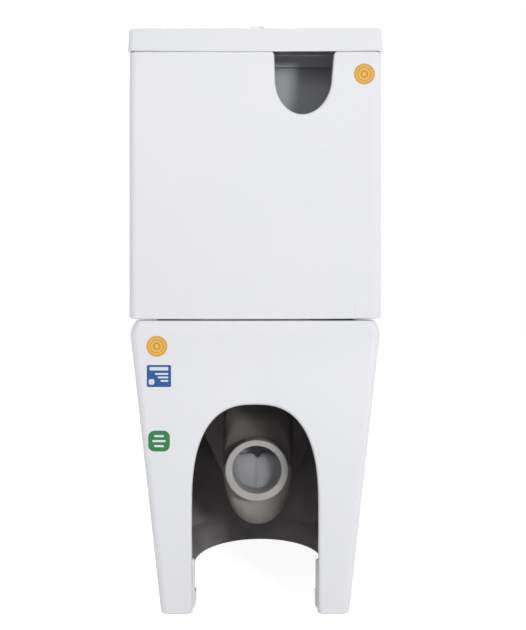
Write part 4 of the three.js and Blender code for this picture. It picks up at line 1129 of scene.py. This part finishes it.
def turned(name, profile, x, y, *materials, sides=48, size=0.0006, lobes=0, depth=0.0):
    """A piece turned on an upright axis from radius and height pairs, with or without lobes."""
    closed = profile[0] == profile[-1]
    widest = max(radius for radius, _ in profile)
    rings = []
    for radius, z in softened(profile, size):
        ring = []
        for i in range(sides):
            turn = math.tau * i / sides
            reach = radius
            if lobes and radius > 0.8 * widest:
                reach -= depth * max(0, math.cos(lobes * turn)) ** 2
            ring.append(Vector((x + reach * math.cos(turn), y + reach * math.sin(turn), z)))
        rings.append(ring)
    return made(skin(rings, joined=closed), name, *materials)


def turned_piece(name, body, material, profile, x, y, **shape):
    """A turned piece that is finished as it comes, in place of the solid of the same name."""
    piece = turned(name, profile, x, y, bpy.data.materials[material], **shape)
    return placed(piece, body, material, name)


def band(inner, outer, low, high):
    """The closed profile of a plain ring."""
    return [(inner, low), (outer, low), (outer, high), (inner, high), (inner, low)]


def thread(radius, low, high, pitch, depth=0.0005):
    """The profile of a screw thread between two heights."""
    turns = int(abs(high - low) / pitch)
    step = (high - low) / turns
    return [
        (radius - depth * part, low + step * (i + part / 2))
        for i in range(turns) for part in (0, 1)
    ]


post_half = 0.008
post_round = 0.009
post_steps = 24
stud_foot = deck_underside - 0.022
nut_top = deck_underside - gap
for name, side in sides:
    x = side * hinge_x
    base = turned(f"hinge_base_{name}", [
        (0.019, pan_top + gap), (0.019, pan_top + 0.0022), (0.0165, pan_top + 0.0043),
        (0.004, pan_top + 0.0052),
    ], x, hinge_y, chrome, sides=64, size=0.0012)
    post_shape = []
    for i in range(post_steps + 1):
        turn = math.pi * i / post_steps
        post_shape.append((post_round * math.cos(turn), hinge_z + post_round * math.sin(turn)))
    post_shape += [
        (-0.009, 0.4330), (-0.0098, 0.4290), (-0.0125, pan_top + 0.002), (0.0125, pan_top + 0.002),
        (0.0098, 0.4290), (0.009, 0.4330),
    ]
    outline = [Vector((x - post_half, hinge_y + y, z)) for y, z in post_shape]
    post = slab("post", outline, (2 * post_half, 0, 0), 0.0014, 3, chrome)
    cut(base, post, way="UNION")
    cut(base, lying(peg(pin_hole, -0.02, 0.02, 0, 0), x, hinge_y, hinge_z))
    placed(even_shading(base), "toilet", "chrome", f"hinge_base_{name}")
    pin = lying(turned(f"hinge_pin_{name}", [
        (0.003, -0.02425), (0.004, -0.02325), (0.004, 0.02325), (0.003, 0.02425),
    ], 0, 0, steel, sides=32, size=0.0005), x, hinge_y, hinge_z)
    placed(pin, "toilet", "steel", f"hinge_pin_{name}")
    damper = lying(turned(f"hinge_damper_{name}", [
        (0.00425, -0.008), (0.0065, -0.008), (0.0065, -0.0055), (0.0061, -0.0050), (0.0061, 0.0050),
        (0.0065, 0.0055), (0.0065, 0.008), (0.00425, 0.008), (0.00425, -0.008),
    ], 0, 0, grey_plastic, sides=40, size=0.0004), side * cover_lug_x, hinge_y, hinge_z)
    placed(opened(damper), "cover", "grey_plastic", f"hinge_damper_{name}")
    turned_piece(f"hinge_stud_{name}", "toilet", "steel", [
        (0.0025, stud_foot), *thread(0.004, stud_foot + 0.0012, pan_top - 0.004, 0.00125),
        (0.004, pan_top - 0.003), (0.004, pan_top),
    ], x, hinge_y, sides=24, size=0.0003)
    turned_piece(f"hinge_nut_{name}", "toilet", "white_plastic", [
        (0.00425, nut_top - 0.012), (0.0095, nut_top - 0.012), (0.0125, nut_top - 0.0105),
        (0.0125, nut_top - 0.0035), (0.0130, nut_top - 0.0028), (0.0130, nut_top),
        (0.00425, nut_top), (0.00425, nut_top - 0.012),
    ], x, hinge_y, sides=96, lobes=8, depth=0.0016)

# The bumpers under the ring and inside the cover. Soft rubber pads pressed into the plastic, which
# keep the seat off the rim and the cover off the ring.
soft_rubber = finish(
    "soft_rubber", clay_group, (216, 216, 212), (206, 206, 200), (0.2,), 0.15, 0.0005,
)
for end, y, inset in (("front", -0.2, 0.038), ("back", -0.025, 0.019)):
    for name, side in sides:
        x = side * (seat_width / 2 - inset)
        bumper = brick(
            f"seat_bumper_{end}_{name}", (x - 0.006, y - 0.013, pan_top + gap),
            (x + 0.006, y + 0.013, seat_foot - gap), 0.0022, soft_rubber,
        )
        placed(bumper, "seat", "soft_rubber", f"seat_bumper_{end}_{name}")
for name, side in sides:
    bumper = turned(f"cover_bumper_{name}", [
        (0.004, seat_top + 0.0011), (0.0065, seat_top + 0.0019), (0.007, 0.4600),
        (0.007, cover_inside - gap),
    ], side * 0.096, front_y + 0.078, soft_rubber, sides=32, size=0.0015)
    placed(opened(bumper), "cover", "soft_rubber", f"cover_bumper_{name}")

# The push button. A chrome-plated housing drops through the lid and is held from below by a ring
# nut. Two buttons share its dome, a small half flush and a large full flush, each on a spring and
# with a rod down to the valve.
flange_foot = lid_crown + gap
flange_top = flange_foot + 0.004
housing_foot = flange_foot - 0.034
floor_top = housing_foot + 0.003
button_x = 0.01
housing = turned("button_housing", [
    (0.0175, housing_foot), (0.0194, housing_foot + 0.0012),
    *thread(0.0194, housing_foot + 0.002, flange_foot - 0.008, 0.0015),
    (0.0194, flange_foot - 0.007), (0.0194, flange_foot), (0.0290, flange_foot),
    (0.0290, flange_foot + 0.0010), (0.0262, flange_top - 0.0008), (0.0205, flange_top),
    (0.0176, flange_top - 0.0003), (0.0174, flange_top - 0.0015), (0.0174, floor_top),
], 0, tank_y, chrome, sides=96, size=0.0008)
for side in (-1, 1):
    cut(housing, peg(0.0032, housing_foot - 0.005, floor_top + 0.005, side * button_x, tank_y, 32))
placed(even_shading(housing), "lid", "chrome", "button_housing")
ring_nut_top = lid_plate - gap
turned_piece("button_ring_nut", "lid", "white_plastic", [
    (0.0199, ring_nut_top - 0.007), (0.0225, ring_nut_top - 0.007), (0.0255, ring_nut_top - 0.0062),
    (0.0255, ring_nut_top - 0.0022), (0.027, ring_nut_top - 0.0018), (0.027, ring_nut_top),
    (0.0199, ring_nut_top), (0.0199, ring_nut_top - 0.007),
], 0, tank_y, sides=120, lobes=12, depth=0.0014)

button_radius = 0.017
button_foot = flange_top - 0.015
dome_height = 0.0086
split_x = 0.003
split_gap = 0.0008
rod_foot = 0.7415
spring_radius, spring_wire, spring_turns = 0.0049, 0.0011, 6
spring_foot = floor_top + gap


def coil(name, radius, wire, low, high, turns, x, y, *materials):
    """A coil spring of round wire."""
    bm = bmesh.new()
    place = Matrix.Translation((x + radius, y, low + wire / 2))
    upright = Matrix.Rotation(math.pi / 2, 4, "X")
    bmesh.ops.create_circle(bm, segments=8, radius=wire / 2, matrix=place @ upright)
    steps = 20 * turns
    bmesh.ops.spin(
        bm, geom=bm.edges[:], axis=(0, 0, 1), cent=(x, y, 0),
        dvec=(0, 0, (high - low - wire) / steps), angle=math.tau * turns, steps=steps,
    )
    bmesh.ops.holes_fill(bm, edges=bm.edges[:])
    bmesh.ops.recalc_face_normals(bm, faces=bm.faces[:])
    return made(bm, name, *materials)


for name, side in (("half", 1), ("full", -1)):
    button = turned(f"{name}_flush_button", [
        (button_radius, button_foot), (button_radius, flange_top - 0.0004),
        *((button_radius * math.cos(t), flange_top + dome_height * math.sin(t))
          for t in (math.radians(angle) for angle in range(4, 88, 6))),
        (0.0006, flange_top + dome_height),
    ], 0, tank_y, chrome, sides=96, size=0.0002)
    bm = bmesh.new()
    bm.from_mesh(button.data)
    bmesh.ops.bisect_plane(
        bm, geom=bm.verts[:] + bm.edges[:] + bm.faces[:], dist=1e-6, clear_outer=True,
        plane_co=(split_x + side * split_gap / 2, 0, 0), plane_no=(-side, 0, 0),
    )
    bmesh.ops.holes_fill(bm, edges=[line for line in bm.edges if line.is_boundary])
    flats = [face for face in bm.faces if abs(face.normal.x) > 0.999 and len(face.verts) > 8]
    rims = [line for line in bm.edges if any(face in flats for face in line.link_faces)]
    bmesh.ops.bevel(
        bm, geom=rims, offset=0.0005, segments=2, profile=0.5, affect="EDGES", material=-1,
    )
    bm.to_mesh(button.data)
    bm.free()
    placed(even_shading(button), f"{name}_button", "chrome", f"{name}_flush_button")
    x = side * button_x
    turned_piece(f"{name}_flush_rod", f"{name}_button", "white_plastic", [
        (0.0018, rod_foot), *thread(0.0025, rod_foot + 0.001, rod_foot + 0.045, 0.0015, 0.0004),
        (0.0025, rod_foot + 0.046), (0.0025, button_foot - 0.0006), (0.0022, button_foot - gap),
    ], x, tank_y, sides=24, size=0.0002)
    spring = coil(
        f"{name}_flush_spring", spring_radius, spring_wire, spring_foot, button_foot - gap,
        spring_turns, x, tank_y, steel,
    )
    placed(spring, "lid", "steel", f"{name}_flush_spring")
    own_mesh(spring)

# The flush valve. Moulded plastic. Its threaded tail goes through the tank's floor, with a rubber
# washer inside and a back nut outside, and the tower stands on four legs over the seat.
black_rubber = finish(
    "black_rubber", clay_group, (44, 44, 46), (56, 55, 54), (0.3,), 0.2, 0.0006,
)
blue_plastic = finish(
    "blue_plastic", plastic_group, (63, 120, 180), (56, 110, 170), (0.34, 0.5, 0.2), 0.2, 0.0008,
)
valve_tail = 0.395
valve_flange = 0.4426
valve_seat = 0.4546
bridge_top = 0.4996
tower_foot, tower_top = 0.4999, 0.6959
cap_foot, cap_top = 0.6962, 0.7012
valve_base = turned("flush_valve_base", [
    (0.025, valve_tail), (0.0285, valve_tail), *thread(0.030, 0.397, 0.430, 0.003, 0.0009),
    (0.030, 0.4315), (0.030, valve_flange), (0.042, valve_flange), (0.042, valve_flange + 0.005),
    (0.028, valve_flange + 0.005), (0.028, valve_seat - 0.001), (0.0272, valve_seat),
    (0.0258, valve_seat), (0.025, valve_seat - 0.001), (0.025, valve_tail),
], 0, tank_y, white_plastic, sides=72, size=0.0008)
bridge_profile = band(0.037, 0.041, bridge_top - 0.007, bridge_top)
cut(valve_base, turned("bridge", bridge_profile, 0, tank_y, white_plastic, sides=72), way="UNION")
for i in range(4):
    leg = brick(
        "leg", (0.0372, -0.006, valve_flange + 0.004), (0.040, 0.006, bridge_top - 0.002), 0.0006,
    )
    turn = Matrix.Rotation(math.pi / 4 + math.pi / 2 * i, 4, "Z")
    leg.data.transform(Matrix.Translation((0, tank_y, 0)) @ turn)
    cut(valve_base, leg, way="UNION")
placed(even_shading(valve_base), "toilet", "white_plastic", "flush_valve_base")
turned_piece(
    "flush_valve_washer", "toilet", "black_rubber", band(0.03025, 0.042, 0.4393, 0.4423),
    0, tank_y, size=0.0012,
)
turned_piece("flush_valve_back_nut", "toilet", "grey_plastic", [
    (0.03025, 0.4147), (0.036, 0.4147), (0.0405, 0.4162), (0.0405, 0.4245), (0.042, 0.4252),
    (0.042, 0.4267), (0.03025, 0.4267), (0.03025, 0.4147),
], 0, tank_y, sides=128, lobes=8, depth=0.003, size=0.001)
tower = turned("flush_valve_tower", [
    (0.036, tower_foot), (0.039, tower_foot), (0.039, tower_foot + 0.010),
    (0.0384, tower_foot + 0.0108), (0.0384, tower_top - 0.0108), (0.039, tower_top - 0.010),
    (0.039, tower_top), (0.036, tower_top), (0.036, tower_foot),
], 0, tank_y, white_plastic, sides=96)
for across, along in ((0.05, 0.02), (0.02, 0.05)):
    cut(tower, brick(
        "window", (-across, tank_y - along, tower_top - 0.054),
        (across, tank_y + along, tower_top - 0.012), 0.004,
    ))
placed(even_shading(tower), "toilet", "white_plastic", "flush_valve_tower")
cap = turned("flush_valve_cap", [
    (0.030, cap_foot), (0.042, cap_foot), (0.042, cap_top - 0.0015), (0.040, cap_top),
    (0.030, cap_top),
], 0, tank_y, blue_plastic, sides=72, size=0.001)
for side in (-1, 1):
    guide = turned("guide", [
        (0.0088, cap_foot), (0.009, cap_top), (0.0086, cap_top + 0.0152), (0.0078, cap_top + 0.016),
    ], side * button_x, tank_y, blue_plastic)
    cut(cap, guide, way="UNION")
for side in (-1, 1):
    cut(cap, peg(0.0065, cap_foot - 0.01, cap_top + 0.03, side * button_x, tank_y))
placed(even_shading(cap), "toilet", "blue_plastic", "flush_valve_cap")
turned_piece("flush_valve_core", "valve_core", "white_plastic", [
    (0.0125, 0.4516), (0.015, 0.4516), (0.015, 0.4582), (0.030, 0.4582), (0.030, 0.4600),
    (0.0285, 0.4632), (0.0165, 0.4632), (0.015, 0.4650), (0.015, 0.6552), (0.0145, 0.6562),
    (0.0130, 0.6562), (0.0125, 0.6552), (0.0125, 0.4516),
], 0, tank_y, sides=56)
turned_piece(
    "flush_valve_core_seal", "valve_core", "black_rubber", band(0.01525, 0.031, 0.4549, 0.4579),
    0, tank_y, size=0.0012,
)
for name, side, material in (("half", 1, "white_plastic"), ("full", -1, "grey_plastic")):
    turned_piece(f"{name}_flush_plunger", f"{name}_plunger", material, [
        (0.0045, 0.6872), (0.006, 0.6885), (0.006, 0.7362), (0.0064, 0.7372), (0.008, 0.7372),
        (0.008, 0.7402), (0.007, 0.7412),
    ], side * button_x, tank_y, sides=40)

# The fill valve. A moulded column with a threaded shank through the tank's floor, a grey head with
# the valve in it, and a blue cup that floats up the column and tips the lever on the head.
lever_y, lever_z = tank_y + 0.008, 0.6889
turned_piece("fill_valve_column", "toilet", "white_plastic", [
    (0.0055, 0.389), *thread(0.007, 0.3902, 0.430, 0.0015, 0.0006), (0.007, 0.4310),
    (0.007, 0.4416), (0.016, 0.4416), (0.016, 0.4466), (0.0115, 0.4466), (0.009, 0.4500),
    (0.009, 0.6350), (0.0086, 0.6360), (0.0086, 0.6416),
], fill_x, tank_y, sides=40)
turned_piece(
    "fill_valve_washer", "toilet", "black_rubber", band(0.00725, 0.016, 0.4393, 0.4413),
    fill_x, tank_y, size=0.0008,
)
turned_piece("fill_valve_back_nut", "toilet", "brass", [
    (0.00725, 0.4187), (0.0125, 0.4187), (0.015, 0.4197), (0.015, 0.4257), (0.0125, 0.4267),
    (0.00725, 0.4267), (0.00725, 0.4187),
], fill_x, tank_y, sides=6, size=0.0003)
fill_head = turned("fill_valve_head", [
    (0.0086, 0.6419), (0.009, 0.6425), (0.0150, 0.6499), (0.0150, 0.6752), (0.0156, 0.6759),
    (0.0170, 0.6759), (0.0170, 0.6831), (0.0162, 0.6839),
], fill_x, tank_y, grey_plastic, sides=96, lobes=16, depth=0.0006)
for side in (-1, 1):
    post_x = fill_x + side * 0.006
    cut(fill_head, brick(
        "post", (post_x - 0.0015, tank_y + 0.004, 0.6825),
        (post_x + 0.0015, tank_y + 0.012, 0.6939), 0.0008,
    ), way="UNION")
cut(fill_head, lying(peg(0.002, -0.0048, 0.0048, 0, 0, 24), fill_x, lever_y, lever_z), way="UNION")
placed(even_shading(fill_head), "toilet", "grey_plastic", "fill_valve_head")
float_cup = turned("float_cup", [
    (0.010, 0.5636), (0.012, 0.5636), (0.012, 0.6216), (0.020, 0.6216), (0.020, 0.5636),
    (0.022, 0.5636), (0.022, 0.6216), (0.0205, 0.6236), (0.010, 0.6236), (0.010, 0.5636),
], fill_x, tank_y, blue_plastic, sides=56)
float_rod = turned(
    "rod", [(0.0016, 0.6226), (0.002, 0.6236), (0.002, 0.6860), (0.0016, 0.6866)],
    fill_x, tank_y - 0.0195, blue_plastic, sides=24, size=0.0003,
)
cut(float_cup, float_rod, way="UNION")
placed(even_shading(float_cup), "float", "blue_plastic", "float_cup")
lever = brick(
    "float_lever", (fill_x - 0.004, tank_y - 0.0245, 0.6869),
    (fill_x + 0.004, tank_y + 0.012, 0.6909), 0.0009, white_plastic,
)
cut(lever, lying(peg(0.00425, -0.004, 0.004, 0, 0, 32), fill_x, lever_y, lever_z), way="UNION")
cut(lever, lying(peg(0.00225, -0.01, 0.01, 0, 0, 24), fill_x, lever_y, lever_z))
placed(even_shading(lever), "lever", "white_plastic", "float_lever")

# The tank's fixings. Brass bolts through the tank's floor and the deck, with rubber washers inside
# the tank and steel washers and wing nuts under the deck. A foam gasket seals the joint and two
# rubber pads steady the tank's back.
turned_piece("coupling_gasket", "toilet", "black_rubber", [
    (0.0305, 0.3998), (0.050, 0.3998), (0.050, 0.4267), (0.0425, 0.4267), (0.0425, 0.4141),
    (0.0305, 0.4141), (0.0305, 0.3998),
], 0, tank_y, sides=72, size=0.002)
bolt_way = 0.00425
wing = [
    (0.0060, 0.3990), (0.0100, 0.3972), (0.0130, 0.3946), (0.0150, 0.3941), (0.0165, 0.3955),
    (0.0165, 0.3985), (0.0135, 0.4020), (0.0095, 0.4045), (0.0045, 0.4062),
]
wings = [(-across, z) for across, z in reversed(wing)] + wing
wing_thickness = 0.003
pad_x, pad_half = 0.112, 0.030
for name, side in sides:
    x = side * bolt_x
    bolt = turned(f"tank_bolt_{name}", [
        (0.003, 0.3909), *thread(0.004, 0.3918, 0.4300, 0.00125, 0.0005), (0.004, 0.4310),
        (0.004, 0.4436), (0.009, 0.4436), (0.009, 0.4456), (0.0075, 0.4476), (0.004, 0.4486),
        (0.001, 0.4486),
    ], x, tank_y, brass, sides=32, size=0.0005)
    cut(bolt, brick(
        "slot", (x - 0.012, tank_y - 0.0009, 0.4468), (x + 0.012, tank_y + 0.0009, 0.452), 0.0002,
    ))
    placed(even_shading(bolt), "toilet", "brass", f"tank_bolt_{name}")
    turned_piece(f"tank_bolt_rubber_washer_{name}", "toilet", "black_rubber", [
        (bolt_way, 0.4393), (0.015, 0.4393), (0.015, 0.4403), (0.0120, 0.4433), (bolt_way, 0.4433),
        (bolt_way, 0.4393),
    ], x, tank_y, size=0.0008)
    turned_piece(
        f"deck_washer_{name}", "toilet", "steel", band(bolt_way, 0.012, 0.4072, 0.4092),
        x, tank_y, size=0.0003,
    )
    wing_nut = turned(f"wing_nut_{name}", [
        (0.0055, 0.3969), (0.0068, 0.3985), (0.0075, 0.4069), (bolt_way, 0.4069),
    ], x, tank_y, brass, sides=40)
    outline = [Vector((x + across, tank_y - wing_thickness / 2, z)) for across, z in wings]
    cut(wing_nut, slab("wings", outline, (0, wing_thickness, 0), 0.0009, 2, brass), way="UNION")
    cut(wing_nut, peg(bolt_way, 0.39, 0.41, x, tank_y, 32))
    placed(even_shading(wing_nut), "toilet", "brass", f"wing_nut_{name}")
    pad = brick(
        f"tank_pad_{name}", (side * pad_x - pad_half, wall_y - 0.026, pan_top + gap),
        (side * pad_x + pad_half, wall_y - 0.010, tank_foot - gap), 0.0008, black_rubber,
    )
    placed(pad, "toilet", "black_rubber", f"tank_pad_{name}")


# The labels. Printed film stuck on the back of the tank and the pan: two gold discs printed with
# rings, and a blue and a green label printed with pale bars.
def film(name, *color):
    second_color = [level * fade for level, fade in zip(color, (0.94, 0.94, 0.95))]
    return finish(
        name, clay_group, color, second_color, (0.1,), 0.06, 0.0003,
        Coat_Weight=0.4, Coat_Roughness=0.25,
    )


gold_film = film("gold_film", 240, 192, 88)
bronze_film = film("bronze_film", 206, 130, 48)
blue_film = film("blue_film", 34, 84, 146)
pale_film = film("pale_film", 222, 230, 238)
green_film = film("green_film", 40, 118, 66)
film_thickness = 0.0002


def disc_label(name, x, z, y):
    """A round label printed with rings."""
    radii = (0.0150, 0.0146, 0.0138, 0.0130, 0.0100, 0.0091, 0.0052, 0.0036, 0.0005)
    turns = [math.tau * i / 96 for i in range(96)]
    rings = []
    for radius, place in ((radii[0], y), *((radius, y + film_thickness) for radius in radii)):
        rings.append([
            Vector((x + radius * math.cos(turn), place, z + radius * math.sin(turn)))
            for turn in turns
        ])
    label = made(skin(rings, marks=[0, 1, 0, 1, 0, 1, 0, 1, 0]), name, gold_film, bronze_film)
    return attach(label, "toilet")


def plate_label(name, x, z, y, width, height, corner, ground, bars):
    """A label with rounded corners and raised bars of ink in a second colour."""
    foot = oblong(width / 2, -height / 2, height / 2, corner, 0)
    top = oblong(width / 2, -height / 2, height / 2, corner, -film_thickness, 0.0001)
    label = made(skin([foot, top]), name, ground, pale_film)
    for across, up, bar_width, bar_height in bars:
        place = Vector((across, up, 0))
        half_height = bar_height / 2
        rings = [
            [point + place
             for point in oblong(bar_width / 2, -half_height, half_height, bar_height * 0.3, level)]
            for level in (0.0, -film_thickness * 1.5)
        ]
        ink = made(skin(rings), "ink", pale_film, pale_film)
        ink.data.polygons.foreach_set("material_index", [1] * len(ink.data.polygons))
        cut(label, ink, way="UNION")
    label.data.transform(Matrix.Translation((x, y, z)) @ Matrix.Rotation(math.pi / 2, 4, "X"))
    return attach(label, "toilet")


disc_label("tank_disc_label", -0.1576, 0.7788, tank_high.y)
disc_label("pan_disc_label", 0.1414, 0.3865, wall_y)
plate_label("blue_label", 0.1384, 0.3437, wall_y, 0.035, 0.0317, 0.002, blue_film, [
    (0, 0.0105, 0.027, 0.005), (-0.004, 0.0030, 0.019, 0.0026), (-0.006, -0.0020, 0.015, 0.0026),
    (-0.008, -0.0070, 0.011, 0.0026), (0.0105, -0.0085, 0.0080, 0.0080),
])
plate_label("green_label", 0.1382, 0.2500, wall_y, 0.031, 0.030, 0.009, green_film, [
    (0, 0.0072, 0.014, 0.0030), (0, 0.0, 0.019, 0.0030), (0, -0.0072, 0.014, 0.0030),
])

# The studio. A white floor and backdrop with soft light from behind the camera and from above.
floor_bm = bmesh.new()
bmesh.ops.create_grid(floor_bm, x_segments=1, y_segments=1, size=6)
floor = made(floor_bm, "studio_floor")


def white_backdrop(tree):
    """White where the camera, gloss or glass sees it, over what the light makes of it."""
    path = tree.nodes.new("ShaderNodeLightPath")
    seen = path.outputs["Is Camera Ray"]
    for ray in ("Is Glossy Ray", "Is Transmission Ray"):
        either = tree.nodes.new("ShaderNodeMath")
        either.operation = "MAXIMUM"
        tree.links.new(seen, either.inputs[0])
        tree.links.new(path.outputs[ray], either.inputs[1])
        seen = either.outputs[0]
    return seen


floor_paint = bpy.data.materials.new("floor_paint")
floor_paint.use_nodes = True
floor_tree = floor_paint.node_tree
floor_tree.nodes.remove(floor_tree.nodes["Principled BSDF"])
floor_matte = floor_tree.nodes.new("ShaderNodeBsdfDiffuse")
floor_matte.inputs["Color"].default_value = (0.6, 0.6, 0.6, 1)
floor_glow = floor_tree.nodes.new("ShaderNodeEmission")
floor_level = floor_tree.nodes.new("ShaderNodeMath")
floor_level.operation = "MULTIPLY"
floor_level.inputs[1].default_value = 0.92
floor_tree.links.new(white_backdrop(floor_tree), floor_level.inputs[0])
floor_tree.links.new(floor_level.outputs[0], floor_glow.inputs["Strength"])
floor_sum = floor_tree.nodes.new("ShaderNodeAddShader")
floor_tree.links.new(floor_matte.outputs[0], floor_sum.inputs[0])
floor_tree.links.new(floor_glow.outputs[0], floor_sum.inputs[1])
floor_tree.links.new(floor_sum.outputs[0], floor_tree.nodes["Material Output"].inputs["Surface"])
floor.data.materials.append(floor_paint)

world = bpy.data.worlds.new("studio")
world.use_nodes = True
bpy.context.scene.world = world
room = world.node_tree
room_light = room.nodes["Background"]
room_light.inputs["Color"].default_value = (1, 1, 1, 1)
room_level = room.nodes.new("ShaderNodeMapRange")
room_level.inputs["To Min"].default_value = 0.42
room_level.inputs["To Max"].default_value = 1.0
room.links.new(white_backdrop(room), room_level.inputs["Value"])
room.links.new(room_level.outputs["Result"], room_light.inputs["Strength"])


def lamp(name, place, aim, size, power, glossy=True):
    data = bpy.data.lights.new(name, "AREA")
    data.shape = "RECTANGLE"
    data.size, data.size_y = size
    data.energy = power
    light = bpy.data.objects.new(name, data)
    light.location = place
    light.rotation_euler = (Vector(aim) - Vector(place)).to_track_quat("-Z", "Y").to_euler()
    light.visible_glossy = glossy
    bpy.context.scene.collection.objects.link(light)
    return light


lamp("key_light", (-1.6, 4.3, 0.85), (0, 0.3, 0.6), (0.6, 0.6), 88, glossy=False)
back_light = lamp("back_light", (0.3, 4.2, 1.3), (0, 0.3, 0.72), (1.2, 0.6), 0.55, glossy=False)
back_light.data.spread = math.radians(32)
for x, power in ((3.2, 12), (-3.2, 10)):
    lamp("side_light", (x, 0.9, 0.8), (0, 0.2, 0.4), (1.6, 1.8), power, glossy=False)
lamp("front_light", (0.9, -2.2, 1.9), (0, 0, 0.4), (2.0, 1.6), 22)
lamp("top_light", (0, -0.2, 3.2), (0, 0.0, 0.4), (2.4, 2.4), 12)
